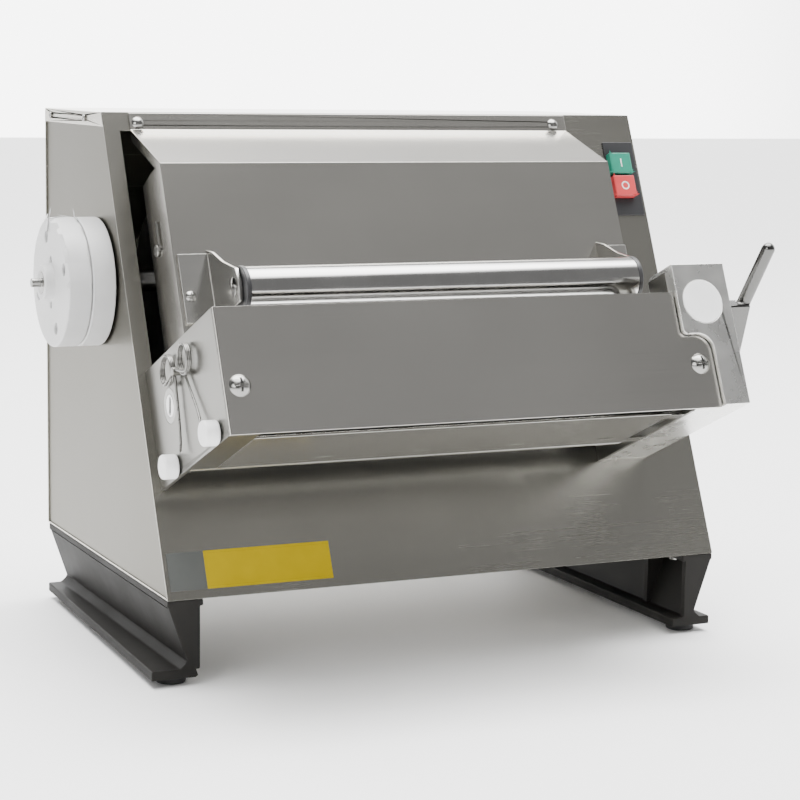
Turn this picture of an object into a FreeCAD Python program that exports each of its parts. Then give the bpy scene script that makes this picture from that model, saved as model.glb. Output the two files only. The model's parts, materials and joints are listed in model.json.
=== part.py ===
import FreeCAD, Part
import math
import os

# Bench pasta roller machine: a sheet-metal casing with a leaning face, a roller head that
# stands off the face, a feed chute with an idle guard roller, a gear motor inside and a nylon
# attachment hub on the left. Millimetres. While the parts are drawn, X = 0 is the middle of
# the casing, Y = 0 its front bottom edge, Z = 0 the floor; at the end all parts are shifted so
# that the origin is the bottom centre of the whole machine.
#
# Pieces on the leaning face are drawn in the face frame (x, v, n) and then laid on the face:
# v runs up the face from its bottom edge and n is the distance out from it.

V = FreeCAD.Vector

# ---- driving dimensions ----

# casing
body_width = 540.0
body_depth = 360.0            # at the base
top_depth = 180.0             # at the top, so the face leans back
body_height = 405.0
sheet = 1.5
lip = 13.0                    # drop of the top cover over the side panels

# feet
foot_height = 68.0
pad_height = 7.0
pad_radius = 13.0
pad_inset = 20.0              # pad axis from the ends of a foot
foot_flange = 40.0            # width of the bottom flange
foot_seat = 32.0              # width of the top flange
foot_wall = 6.0
foot_inset = 4.0              # from the back of the casing

# rollers
roller_radius = 36.0
roller_height = 157.0         # of the roller axes, up the face
roller_back_gap = 14.0        # from the face to the rear roller
journal_radius = 10.0
barrel_end_gap = 2.0
gap_min = 0.5
gap_max = 5.5
lever_down = 30.0             # degrees from rest to the closed stop
lever_up = 45.0               # degrees from rest to the open stop
gear_teeth = 18
gear_width = 14.0

# roller head
head_over = 9.0               # the head's walls above and below the rollers
head_under = 25.0
head_front_gap = 19.5         # from the front roller to the outside of the front cover
cheek_sheet = 4.0
left_cheek_x = -262.0         # outer face of the left cheek
right_cheek_x = 166.0         # inner face of the right cheek
gear_case_x = 219.0           # outer face of the gear case
carriage_thickness = 11.5
carriage_back = 21.0          # of a carrier, behind the front roller axis
tie_radius = 5.0
tie_gap = 2.0                 # from the front roller to the tie bar
tie_turn = 35.0               # degrees of the tie bar above the straight-out direction
cover_sheet = 2.0
block_height = 64.0           # index block at the upper right of the head
block_over = 24.0             # block above the head
block_depth = 40.0
block_proud = 5.0             # block face in front of the front cover
block_strip = 25.0            # width of the strip the block runs down in
case_rise = 1.0               # bottom of the gear case above the bottom of the head
cap_radius = 19.5

# feed chute and its guard
chute_left = -246.0
chute_right = 197.0
chute_reach = 65.0            # of the chute plate, out from the face
chute_flange = 18.0           # height of the hanging flange
chute_slope = 56.0            # run of the sloping band, down the face
chute_side_over = 2.0         # lower end of the side flanges, above the head
chute_gap = 10.0              # side flanges stay this far off the face
guard_radius = 20.0
guard_height = 235.0          # guard axis, up the face
guard_reach = 118.0           # guard axis, out from the face
guard_left = -213.0
guard_right = 167.0
ear_sheet = 3.0

# drive
hub_depth = 195.0             # output shaft axis, back from the front bottom edge
hub_height = 328.0            # output shaft axis, above the floor
hub_radius = 58.0
hub_disc = 21.2
hub_boss_radius = 15.5
hub_boss = 9.0
hub_hole_radius = 5.5
hub_hole_circle = 42.5
hub_hole_turn = 70.0
hub_pin_hole_radius = 3.0
hub_pin_circle = 20.5
stud_radius = 4.0
stud_length = 9.0
shaft_radius = 10.0
pulley_radius = 26.0
belt_width = 9.0
belt_thickness = 4.0
motor_radius = 60.0
motor_length = 200.0
box_wall = 6.0
train_module = 1.5
output_teeth = 70
middle_teeth = 56
pinion_teeth = 14
train_width = 12.0

# lever
lever_length = 119.0          # pivot to the tip of the handle
lever_angle = 51.0            # degrees from the face, at rest
lever_hub_radius = 19.5
lever_hub_width = 24.0
handle_radius = 6.0
handle_lean = 8.0             # of the handle's tip, away from the machine

# scrapers
scraper_drop = 16.0           # of the scraper pivots, below the rollers
rear_scraper_back = 2.0       # rear pivot behind the rear roller axis
front_scraper_ahead = 30.5    # front pivot ahead of the front roller axis
scraper_rod_radius = 5.0
nylon_radius = 10.5
nylon_length = 13.0
blade_sheet = 1.5
blade_angle = 30.0            # from straight below the roller axis to the blade tip
blade_gap = 0.5

# switch
button_width = 23.0
button_height = 21.0
button_proud = 8.0
button_travel = 3.0
switch_width = 33.0
switch_height = 76.0
switch_drop = 29.0            # from the top of the face
switch_right = 267.5

# fits
slide_gap = 0.3               # between faces that pass each other
running_gap = 0.05            # radial, shaft in its bore
touch_gap = 0.5

# ---- sizes that follow ----

base_z = foot_height + pad_height
top_z = base_z + body_height
half_width = body_width / 2
face_run = body_depth - top_depth
face_length = math.hypot(face_run, body_height)
lean = math.degrees(math.atan2(face_run, body_height))
face_place = FreeCAD.Placement(V(0, 0, base_z), FreeCAD.Rotation(V(1, 0, 0), 90 - lean))
panel_half = half_width - sheet          # side panels sit inside the top cover's lips

rear_roller_reach = roller_back_gap + roller_radius
gap_rest = gap_min + (gap_max - gap_min) * lever_down / (lever_down + lever_up)
front_roller_reach = rear_roller_reach + 2 * roller_radius + gap_rest
gear_module = 2 * roller_radius / gear_teeth
head_low = roller_height - roller_radius - head_under
head_high = roller_height + roller_radius + head_over
head_reach = front_roller_reach + roller_radius + head_front_gap
block_top = head_high + block_over
tie_distance = roller_radius + tie_gap + tie_radius
tie_axis = (roller_height + tie_distance * math.sin(math.radians(tie_turn)),
            front_roller_reach + tie_distance * math.cos(math.radians(tie_turn)))
carriage_low = head_low + 4.0
carriage_high = tie_axis[0] + tie_radius + 4.0
carriage_front = tie_axis[1] - front_roller_reach + tie_radius + 1.5
scraper_height = roller_height - roller_radius - scraper_drop
rear_scraper_reach = rear_roller_reach - rear_scraper_back
front_scraper_reach = front_roller_reach + front_scraper_ahead
# the eccentric pin swings evenly about the middle of the lever's travel
pin_swing = math.radians((lever_down + lever_up) / 2)
pin_offset = (gap_max - gap_min) / 2 / math.sin(pin_swing)
pin_rest = math.radians((lever_up - lever_down) / 2)
lever_reach = front_roller_reach + pin_offset * math.sin(pin_rest)
barrel_left = left_cheek_x + cheek_sheet + carriage_thickness + slide_gap + barrel_end_gap
barrel_right = right_cheek_x - carriage_thickness - slide_gap - barrel_end_gap
gear_x = right_cheek_x + cheek_sheet + 2 * barrel_end_gap
yoke_x = gear_x + gear_width + barrel_end_gap
yoke_thickness = 15.0
case_wall = 3.0
belt_x = gear_case_x - case_wall - belt_width - 4.0
middle_distance = train_module * (output_teeth + pinion_teeth) / 2
motor_distance = train_module * (middle_teeth + pinion_teeth) / 2
middle_direction = -60.0      # degrees in the YZ plane, seen from +X
motor_direction = -78.0
hub_axis = (hub_depth, hub_height)


def polar(centre, radius, degrees):
    """Point at a radius and angle from a centre, as a (y, z) pair."""
    turn = math.radians(degrees)
    return centre[0] + radius * math.cos(turn), centre[1] + radius * math.sin(turn)


middle_axis = polar(hub_axis, middle_distance, middle_direction)
motor_axis = polar(middle_axis, motor_distance, motor_direction)


# ---- drawing helpers ----

def block(x, y, z):
    """Box between three (low, high) pairs."""
    return Part.makeBox(x[1] - x[0], y[1] - y[0], z[1] - z[0], V(x[0], y[0], z[0]))


def rod(radius, x, centre):
    """Cylinder along X about centre = (y, z)."""
    return Part.makeCylinder(radius, x[1] - x[0], V(x[0], centre[0], centre[1]), V(1, 0, 0))


def pipe(outer, inner, x, centre):
    """Tube along X about centre = (y, z)."""
    return rod(outer, x, centre).cut(rod(inner, x, centre))


def pin(radius, z, centre):
    """Cylinder along the third axis about centre = (x, y)."""
    return Part.makeCylinder(radius, z[1] - z[0], V(centre[0], centre[1], z[0]))


def slab(points, x):
    """Plate across X whose outline is (y, z) points."""
    wire = Part.makePolygon([V(x[0], y, z) for y, z in points + points[:1]])
    return Part.Face(wire).extrude(V(x[1] - x[0], 0, 0))


def panel(points, z):
    """Plate whose outline is (x, y) points, from z[0] to z[1]."""
    wire = Part.makePolygon([V(x, y, z[0]) for x, y in points + points[:1]])
    return Part.Face(wire).extrude(V(0, 0, z[1] - z[0]))


def slot_x(width, length, x, centre):
    """Slot along the third axis for a cut across X: width in y, length in z."""
    straight = (length - width) / 2
    y, z = centre
    body = block(x, (y - width / 2, y + width / 2), (z - straight, z + straight))
    ends = [rod(width / 2, x, (y, z - straight)), rod(width / 2, x, (y, z + straight))]
    return body.multiFuse(ends)


def joined(shapes):
    """One clean solid from overlapping solids."""
    return shapes[0].multiFuse(shapes[1:]).removeSplitter()


def round_edges(shape, radius, direction):
    """Round the straight edges that run along one direction."""
    chosen = []
    for edge in shape.Edges:
        if edge.Curve.TypeId == "Part::GeomLine":
            if abs(edge.Curve.Direction.dot(direction)) > 0.999:
                chosen.append(edge)
    return shape.makeFillet(radius, chosen)


def on_face(shape):
    """Lay a shape drawn in the face frame on the leaning face."""
    placed = shape.copy()
    placed.Placement = face_place.multiply(shape.Placement)
    return placed


def face_point(x, v, n):
    """World position of a point given in the face frame."""
    return face_place.multVec(V(x, v, n))


def face_axis(v, n):
    """World (y, z) of an axis along X given in the face frame."""
    point = face_point(0, v, n)
    return point.y, point.z


def gear(teeth, module, x, centre, phase, bore):
    """Spur gear with arc flanks through three points of the involute; phase in degrees."""
    pressure = math.radians(20)
    pitch = teeth * module / 2
    base = pitch * math.cos(pressure)
    tip = pitch + 0.95 * module
    root = pitch - 1.25 * module
    low = max(root, base)
    play = 0.06 * module / pitch

    def half_tooth(radius):
        roll = math.acos(min(1.0, base / radius))
        involute = math.tan(pressure) - pressure
        return math.pi / 2 / teeth - play + involute - (math.tan(roll) - roll)

    def at(radius, angle):
        y, z = polar(centre, radius, phase + math.degrees(angle))
        return V(x[0], y, z)

    middle = (low + tip) / 2
    edges = []
    for tooth in range(teeth):
        mid = 2 * math.pi * tooth / teeth
        step = math.pi / teeth
        foot = half_tooth(low)
        crown = half_tooth(tip)
        if root < low:
            edges.append(Part.LineSegment(at(root, mid - foot), at(low, mid - foot)))
        edges.append(Part.Arc(at(low, mid - foot), at(middle, mid - half_tooth(middle)),
                              at(tip, mid - crown)))
        edges.append(Part.Arc(at(tip, mid - crown), at(tip, mid), at(tip, mid + crown)))
        edges.append(Part.Arc(at(tip, mid + crown), at(middle, mid + half_tooth(middle)),
                              at(low, mid + foot)))
        if root < low:
            edges.append(Part.LineSegment(at(low, mid + foot), at(root, mid + foot)))
        edges.append(Part.Arc(at(root, mid + foot), at(root, mid + step),
                              at(root, mid + 2 * step - foot)))
    wire = Part.Wire([edge.toShape() for edge in edges])
    blank = Part.Face(wire).extrude(V(x[1] - x[0], 0, 0))
    return blank.cut(rod(bore, x, centre))


def meshing_phase(teeth, other_teeth, other_phase, direction):
    """Phase of a gear that meshes with another one, which lies at minus direction from it."""
    pitch_angle = 360 / other_teeth
    ahead = ((direction - other_phase) / pitch_angle) % 1.0
    return direction + 180 - (0.5 - ahead) * 360 / teeth


def dome_screw(radius, x, y, seat, shank, cross=True):
    """Raised-head screw along the third axis, head on seat, in the face frame."""
    head_height = 0.55 * radius
    sphere_radius = (radius ** 2 + head_height ** 2) / (2 * head_height)
    ball = Part.makeSphere(sphere_radius, V(x, y, seat + head_height - sphere_radius))
    head = ball.common(pin(radius, (seat, seat + head_height), (x, y)))
    body = joined([head, pin(0.45 * radius, (seat - shank, seat + 0.2), (x, y))])
    if cross:
        reach = 0.6 * radius
        thin = 0.09 * radius
        depth = (seat + 0.5 * head_height, seat + 2 * head_height)
        body = body.cut(block((x - reach, x + reach), (y - thin, y + thin), depth))
        body = body.cut(block((x - thin, x + thin), (y - reach, y + reach), depth))
    return body


def side_screw(radius, x, side, centre, shank):
    """Pan-head screw along X on a side face at x; side is -1 on the left and +1 on the right."""
    head = sorted((x, x + side * 0.5 * radius))
    core = sorted((x - side * shank, x))
    screw = joined([rod(radius, head, centre), rod(0.5 * radius, core, centre)])
    return screw.cut(rod(0.4 * radius, sorted((x + side * 0.2 * radius, x + side * radius)), centre))


nodes = {}


def add(name, *shapes):
    """Keep the solids of one node under its name."""
    nodes[name] = list(shapes)


# ---- casing ----

switch_x = (switch_right - switch_width, switch_right)
switch_v = (face_length - switch_drop - switch_height, face_length - switch_drop)
hub_on_face = face_place.inverse().multVec(V(0, *hub_axis))


def belt_top(reach):
    """Height on the face of the belt's upper side where it is this far out from the face."""
    rise = hub_on_face.y - roller_height
    back = rear_roller_reach - hub_on_face.z
    offset = (pulley_radius + slide_gap + belt_thickness) / math.hypot(rise, back)
    start = (roller_height + offset * back, rear_roller_reach + offset * rise)
    return start[0] + (start[1] - reach) * rise / back


access_left = chute_left - 9
access_right = chute_right - 8
access_v = (181.0, face_length - chute_flange)
belt_slot_x = (belt_x - 3, belt_x + belt_width + 3)
belt_slot_v = (head_low + 24, belt_top(-sheet) + 5)
chute_screw_x = (chute_left + 8, chute_right - 14)
chute_screw_radius = 6.0
chute_screw_v = face_length - chute_flange + chute_screw_radius + 1
chute_screw_hole = 0.45 * chute_screw_radius
side_outline = [(0, base_z), (body_depth, base_z), (body_depth, top_z), (face_run, top_z)]
side_trim = sheet / math.cos(math.radians(lean))
screw_radius = 3.2
lip_screws = [(body_depth - share * top_depth, top_z - lip / 2) for share in (0.12, 0.72)]


def inset_side(points):
    """Side outline pulled in behind the front, rear, top and base sheets."""
    front_low, rear_low, rear_top, front_top = points
    shift = side_trim + touch_gap / 2
    rise = sheet * face_run / body_height
    return [(front_low[0] + shift + rise, front_low[1] + sheet), (rear_low[0] - sheet, rear_low[1] + sheet),
            (rear_top[0] - sheet, rear_top[1] - sheet), (front_top[0] + shift, front_top[1] - sheet)]


def side_panel(side):
    """Side panel, with the output shaft hole on the left."""
    x = sorted((side * panel_half, side * (panel_half - sheet)))
    plate = slab(inset_side(side_outline), x)
    if side < 0:
        plate = plate.cut(rod(shaft_radius + 2 * touch_gap, x, hub_axis))
    return plate


def front_panel():
    """Leaning face with the access opening, the belt slot and the switch cut-out."""
    plate = block((-half_width, half_width), (0, face_length), (-sheet, 0))
    depth = (-2 * sheet, sheet)
    plate = plate.cut(block((access_left, access_right), access_v, depth))
    plate = plate.cut(block(belt_slot_x, belt_slot_v, depth))
    inner = touch_gap
    plate = plate.cut(block((switch_x[0] + inner, switch_x[1] - inner),
                            (switch_v[0] + inner, switch_v[1] - inner), depth))
    for x in chute_screw_x:
        plate = plate.cut(pin(chute_screw_hole, depth, (x, chute_screw_v)))
    below = block((-body_width, body_width), (-body_depth, body_depth), (0, base_z))
    return on_face(plate).cut(below)


def top_cover():
    """Flat top with a lip folded down each side."""
    front = face_run - sheet / 2
    plate = block((-half_width, half_width), (front, body_depth), (top_z - sheet, top_z))
    for side in (-1, 1):
        x = sorted((side * half_width, side * (half_width - sheet)))
        back = body_depth - sheet
        outline = [(front, top_z), (back, top_z), (back, top_z - lip),
                   (front - lip * face_run / body_height + side_trim, top_z - lip)]
        plate = plate.fuse(slab(outline, x))
        for centre in lip_screws:
            plate = plate.cut(rod(0.5 * screw_radius, x, centre))
    face_cut = on_face(block((-body_width, body_width), (-body_height, 2 * body_height), (0, body_depth)))
    skin_cut = on_face(block((-body_width, body_width), (0, face_length), (-sheet - touch_gap / 5, 1)))
    return plate.cut(face_cut).cut(skin_cut).removeSplitter()


louvre_count = 9
louvre_width = 160.0
louvre_height = 7.0
louvre_pitch = 19.0
gland_radius = 9.0
gland_place = (-200.0, base_z + 40)


def rear_cover():
    """Flat rear sheet with two banks of cooling slots and the cable gland hole."""
    plate = block((-half_width, half_width), (body_depth - sheet, body_depth),
                  (base_z + sheet, top_z - sheet))
    for bank in (-1, 1):
        for row in range(louvre_count):
            low = motor_axis[1] - louvre_pitch * (louvre_count / 2 - row)
            x = (bank * louvre_width * 0.75 - louvre_width / 2,
                 bank * louvre_width * 0.75 + louvre_width / 2)
            cut = block(x, (body_depth - 2 * sheet, body_depth + sheet), (low, low + louvre_height))
            plate = plate.cut(round_edges(cut, louvre_height / 2 - 0.1, V(0, 1, 0)))
    hole = Part.makeCylinder(gland_radius, 4 * sheet, V(gland_place[0], body_depth - 2 * sheet,
                                                        gland_place[1]),
                             V(0, 1, 0))
    return plate.cut(hole)


def base_plate():
    """Floor of the casing, trimmed by the leaning face."""
    plate = block((-half_width, half_width), (0, body_depth), (base_z, base_z + sheet))
    face_cut = on_face(block((-body_width, body_width), (-body_height, 2 * body_height),
                             (-sheet, body_depth)))
    return plate.cut(face_cut)


def cable_gland():
    """Gland for the supply lead: a flanged ring with a hexagon and a soft nose."""
    start = V(gland_place[0], body_depth - sheet - 4, gland_place[1])
    back = V(0, 1, 0)
    body = Part.makeCylinder(gland_radius - 0.1, 8, start, back)
    flange = Part.makeCylinder(gland_radius + 4, 4, V(start.x, body_depth, start.z), back)
    nose = Part.makeCone(gland_radius, gland_radius - 3, 9, V(start.x, body_depth + 3.5, start.z), back)
    gland = joined([body, flange, nose])
    return gland.cut(Part.makeCylinder(gland_radius - 5, 40, start - back, back))


def casing_screws():
    """Side screws in the top cover's lips and screws round the rear cover."""
    screws = []
    for side in (-1, 1):
        for centre in lip_screws:
            screws.append(side_screw(screw_radius, side * half_width, side, centre, sheet))
    for x in (-half_width + 12, 0, half_width - 12):
        for z in (base_z + 14, top_z - 14):
            head = Part.makeCylinder(screw_radius, 2, V(x, body_depth, z), V(0, 1, 0))
            screws.append(head)
    return screws


add("left_side_panel", side_panel(-1))
add("right_side_panel", side_panel(1))
add("front_panel", front_panel())
add("top_cover", top_cover())
add("rear_cover", rear_cover())
add("base_plate", base_plate())
add("cable_gland", cable_gland())

# ---- feet ----

foot_length = body_depth - foot_inset
foot_base = pad_height + foot_wall + 2
foot_outer = {-1: half_width + 14, 1: half_width - 1}      # outer edge of the bottom flange, front
foot_taper = {-1: 13.0, 1: 0.0}          # how far that edge draws in towards the back
pad_in = {-1: 23.0, 1: 20.0}             # pad axis from the outer edge
rib_depth = 67.0
web_foot = 22.0                          # how far the web leans in at the bottom
web_fillet = 12.0                        # between the web and the flange


def foot(side):
    """Cast foot: seat under the casing, web leaning inwards, flange on the bench and end ribs."""
    y = (0, foot_length)
    seat_edge = half_width
    outer = foot_outer[side]
    web_top = seat_edge
    web_low = seat_edge - web_foot
    seat = [(web_top, base_z), (web_top - foot_seat, base_z), (web_top - foot_seat, base_z - foot_wall),
            (web_top, base_z - foot_wall)]
    web = [(web_top, base_z - foot_wall / 2), (web_top - foot_wall, base_z - foot_wall / 2),
           (web_low - foot_wall, pad_height + 1), (web_low, pad_height + 1)]
    inner = outer - foot_flange
    flange = panel([(side * outer, 0), (side * (outer - foot_taper[side]), foot_length),
                    (side * inner, foot_length), (side * inner, 0)], (pad_height, foot_base))
    rib = [(web_top - 1, base_z - 1), (web_top - foot_seat + 3, base_z - 1),
           (web_top - foot_seat + 3, foot_base - 1),
           (web_low - 1, foot_base - 1)]

    def bar(points, reach):
        wire = Part.makePolygon([V(side * x, reach[0], z) for x, z in points + points[:1]])
        return Part.Face(wire).extrude(V(0, reach[1] - reach[0], 0))

    ribs = [bar(rib, (0, foot_wall)), bar(rib, (rib_depth, rib_depth + foot_wall)),
            bar(rib, (foot_length - foot_wall, foot_length)),
            bar(rib, (foot_length - rib_depth - foot_wall, foot_length - rib_depth))]
    fillet = bar([(web_low - 1, foot_base - 1), (web_low + web_fillet, foot_base - 1),
                  (web_low + web_fillet / 2, foot_base + web_fillet / 3),
                  (web_low + 2, foot_base + web_fillet)], y)
    return joined([bar(seat, y), bar(web, y), flange, fillet] + ribs)


def foot_pads():
    """Two rubber pads under each foot."""
    pads = []
    for side in (-1, 1):
        for y in (pad_inset, foot_length - pad_inset):
            x = side * (foot_outer[side] - foot_taper[side] * y / foot_length - pad_in[side])
            lower = Part.makeCone(pad_radius - 1, pad_radius, 1, V(x, y, 0))
            pads.append(joined([lower, pin(pad_radius, (1, pad_height), (x, y))]))
    return pads


def foot_bolts():
    """Bolts from the feet up through the base plate."""
    bolts = []
    for side in (-1, 1):
        x = side * (half_width - foot_seat / 2 - 3)
        for y in (rib_depth / 2, foot_length - rib_depth / 2):
            bolts.append(pin(6, (base_z - foot_wall - 5, base_z - foot_wall), (x, y)))
    return bolts


add("feet", foot(-1), foot(1))
add("foot_pads", *foot_pads())
add("casing_screws", *casing_screws(), *foot_bolts())

# ---- name plate and switch ----

plate_left = -266.0
plate_width = 149.0
plate_height = 33.0
plate_low = 8.0
badge_width = 33.0
plate_sheet = 0.8
plate_v = (plate_low, plate_low + plate_height)
bezel_proud = 1.5
switch_depth = 32.0
button_x = (switch_x[0] + 1.5, switch_x[0] + 1.5 + button_width)
start_v = (switch_v[1] - 13.5 - button_height, switch_v[1] - 13.5)
stop_v = (start_v[0] - 2.5 - button_height, start_v[0] - 2.5)
button_sink = 10.0


def switch_housing():
    """Switch case behind the face with a thin bezel and a well for each button."""
    bezel = block((switch_x[0], switch_x[1]), switch_v, (0, bezel_proud))
    inner_x = (switch_x[0] + 2 * touch_gap, switch_x[1] - 2 * touch_gap)
    inner_v = (switch_v[0] + 2 * touch_gap, switch_v[1] - 2 * touch_gap)
    case = joined([bezel, block(inner_x, inner_v, (-switch_depth, 0.5))])
    for v in (start_v, stop_v):
        well = block((button_x[0] - slide_gap, button_x[1] + slide_gap),
                     (v[0] - slide_gap, v[1] + slide_gap),
                     (-button_sink - button_travel - 6, bezel_proud + 1))
        case = case.cut(well)
    return on_face(case)


def push_button(v):
    """Square push button with softened front edges."""
    body = block(button_x, v, (-button_sink, button_proud))
    return on_face(round_edges(body, 1.0, V(0, 0, 1)))


def button_spring(v):
    """Return spring under a button, drawn as stacked rings on a core."""
    centre = V((button_x[0] + button_x[1]) / 2, (v[0] + v[1]) / 2, 0)
    well_floor = -button_sink - button_travel - 6
    turns = 6
    wire = 0.7
    span = -button_sink - well_floor - 2 * wire
    rings = []
    for turn in range(turns):
        height = well_floor + wire + span * turn / (turns - 1)
        rings.append(Part.makeTorus(4.0, wire, V(centre.x, centre.y, height), V(0, 0, 1)))
    posts = []
    for side in (-1, 1):
        posts.append(pin(0.5, (well_floor + wire, -button_sink - wire), (centre.x + side * 4.0, centre.y)))
    return on_face(joined(rings + posts))


add("name_plate", on_face(block((plate_left + badge_width, plate_left + plate_width), plate_v,
                                (0, plate_sheet))))
add("badge_plate", on_face(block((plate_left, plate_left + badge_width), plate_v, (0, plate_sheet))))
add("switch_housing", switch_housing())
add("start_button", push_button(start_v))
add("stop_button", push_button(stop_v))
add("start_spring", button_spring(start_v))
add("stop_spring", button_spring(stop_v))

# ---- roller head: cheeks, gear case and covers ----

rear_axis = (roller_height, rear_roller_reach)
front_axis = (roller_height, front_roller_reach)
lever_axis = (roller_height, lever_reach)
rear_scraper_axis = (scraper_height, rear_scraper_reach)
front_scraper_axis = (scraper_height, front_scraper_reach)
left_cheek = (left_cheek_x, left_cheek_x + cheek_sheet)
right_cheek = (right_cheek_x, right_cheek_x + cheek_sheet)
cheek_front = head_reach - cover_sheet
slide_play = max(gap_rest - gap_min, gap_max - gap_rest) + 1.0
rear_bush_radius = 15.0
block_low = block_top - block_height
case_low = head_low + case_rise
notch_inner = 6.0              # bends of the notch in the front cover
notch_outer = 14.0
case_left = right_cheek[1]
case_x = (case_left, gear_case_x)
cover_notch = 0.8
stud_v = roller_height + 18
stud_n = 92.0


def left_cheek_plate():
    """Left cheek with the rear bearing hole, the rear scraper hole and the front scraper slot."""
    outline = [(head_low, 0), (head_high, 0), (head_high, cheek_front), (head_low, cheek_front)]
    plate = slab(outline, left_cheek)
    plate = plate.cut(rod(rear_bush_radius, left_cheek, rear_axis))
    plate = plate.cut(rod(scraper_rod_radius + running_gap, left_cheek, rear_scraper_axis))
    length = 2 * (scraper_rod_radius + slide_play)
    plate = plate.cut(slot_x(2 * scraper_rod_radius + 1, length, left_cheek, front_scraper_axis))
    return on_face(joined([plate, bottom_flange()]))


def right_cheek_plate():
    """Right cheek, higher at the front where the index block bolts on."""
    front_block = cheek_front - block_depth + block_proud
    outline = [(head_low, 0), (head_high, 0), (head_high, front_block), (block_top - 3, front_block),
               (block_top - 3, cheek_front - 6), (head_low, cheek_front - 6)]
    plate = slab(outline, right_cheek)
    plate = plate.cut(rod(rear_bush_radius, right_cheek, rear_axis))
    plate = plate.cut(rod(scraper_rod_radius + running_gap, right_cheek, rear_scraper_axis))
    width = 2 * (journal_radius + 1)
    plate = plate.cut(slot_x(width, width + 2 * slide_play, right_cheek, front_axis))
    return on_face(plate)


def gear_case():
    """Cast case over the gears: outer wall, top, bottom and front walls, open to the cheek."""
    front = cheek_front - 0.5
    outer = block(case_x, (case_low, head_high), (0, front))
    cavity = block((case_x[0] - 1, case_x[1] - case_wall), (case_low + case_wall, head_high - case_wall),
                   (-1, front - case_wall))
    shell = outer.cut(cavity)
    opening = block((belt_slot_x[0], case_x[1] - case_wall), (head_high - case_wall - 1, head_high + 1),
                    (-1, 70))
    shell = shell.cut(opening)
    bore = rod(12 + running_gap, (case_x[1] - case_wall - 1, case_x[1] + 1), lever_axis)
    return on_face(shell.cut(bore))


def index_block():
    """Block that closes the upper front corner of the gear case and carries the white cap."""
    front = head_reach + block_proud
    x = (right_cheek_x, gear_case_x)
    strip_x = gear_case_x - block_strip
    outline = [(x[0], block_low), (strip_x, block_low), (strip_x, case_low), (x[1], case_low),
               (x[1], block_top), (x[0], block_top)]
    face_part = panel(outline, (cheek_front, front))
    bends = {(x[0], block_low): notch_inner - cover_notch, (strip_x, block_low): notch_outer + cover_notch}
    for (bend_x, bend_v), radius in bends.items():
        edge = [e for e in face_part.Edges if math.hypot(e.CenterOfMass.x - bend_x,
                                                         e.CenterOfMass.y - bend_v) < 0.01]
        face_part = face_part.makeFillet(radius, edge)
    top_part = block(x, (head_high + touch_gap / 5, block_top), (front - block_depth, front))
    body = face_part.fuse(top_part).removeSplitter()
    cheek_pocket = block((right_cheek_x - 1, right_cheek[1] + touch_gap / 5), (head_low, block_top - 2.9),
                         (0, cheek_front - 5.9))
    body = body.cut(cheek_pocket)
    seat = pin(cap_radius + 0.1, (front - 2, front + 1), (case_x[1] - 28, block_top - 35))
    return on_face(body.cut(seat))


def belt_guard():
    """Sheet hood over the belt between the gear case and the face."""
    x = (belt_slot_x[0] - 1.5, gear_case_x)
    low = head_high + touch_gap / 5
    high = belt_slot_v[1] + 11
    reach = rear_roller_reach + 18
    shoulder = max(low, belt_top(reach)) + 12
    wall = 2 * sheet
    outer = slab([(low, 0), (high, 0), (high, 6), (shoulder, reach), (low, reach)], x)
    inner = slab([(low - 1, -1), (high - wall, -1), (high - wall, 4), (shoulder - 1, reach - wall),
                  (low - 1, reach - wall)], (x[0] + sheet, x[1] - sheet))
    return on_face(outer.cut(inner))


cover_screw_left = left_cheek_x + 14.5
cover_screw_right = gear_case_x - 39.5
cover_screw_v = head_low + 40
cover_screw_radius = 9.5


def front_cover():
    """Front sheet of the head, notched at the right round the index block."""
    left = left_cheek_x
    right = case_x[1] - block_strip - cover_notch
    upper_right = right_cheek_x - cover_notch
    notch_v = block_low - cover_notch
    outline = [(left, head_low), (right, head_low), (right, notch_v),
               (upper_right, notch_v), (upper_right, head_high), (left, head_high)]
    plate = panel(outline, (cheek_front, head_reach))
    for bend_x, radius in ((upper_right, notch_inner), (right, notch_outer)):
        edge = [e for e in plate.Edges if math.hypot(e.CenterOfMass.x - bend_x,
                                                     e.CenterOfMass.y - notch_v) < 0.01]
        plate = plate.makeFillet(radius, edge)
    for x in (cover_screw_left, cover_screw_right):
        plate = plate.cut(pin(0.45 * cover_screw_radius, (cheek_front, head_reach), (x, cover_screw_v)))
    corner = [edge for edge in plate.Edges
              if edge.Length > cover_sheet * 2 and abs(edge.CenterOfMass.x - left) < 0.01
              and abs(edge.CenterOfMass.z - head_reach) < 0.01]
    return on_face(plate.makeFillet(1.5, corner))


def cover_screws():
    """Two dome screws hold the front cover."""
    left = dome_screw(cover_screw_radius, cover_screw_left, cover_screw_v, head_reach, cover_sheet)
    right = dome_screw(cover_screw_radius, cover_screw_right, cover_screw_v, head_reach, cover_sheet)
    return [on_face(left), on_face(right)]


discharge_slots = 4
discharge_depth = (rear_roller_reach + 20, front_roller_reach + 39.5)


def discharge_plate():
    """Plate under the front roller that turns the dough back to the face side."""
    x = (barrel_left + 8, barrel_right - 1)
    plate = block(x, (head_low, head_low + cover_sheet), discharge_depth)
    pitch = (x[1] - x[0] - 110) / (discharge_slots - 1)
    for index in range(discharge_slots):
        centre = x[0] + 90 + index * pitch * 0.98
        slot = block((centre - 8, centre + 8), (head_low - 1, head_low + 2 * cover_sheet),
                     (discharge_depth[0] + 17, discharge_depth[0] + 21))
        plate = plate.cut(slot)
    for n in (discharge_depth[0] + 3, discharge_depth[1] - 15):
        tab = block((x[1] - 1, right_cheek[0]), (head_low, head_low + cover_sheet), (n, n + 12))
        plate = plate.fuse(tab)
    return on_face(plate.removeSplitter())


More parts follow.
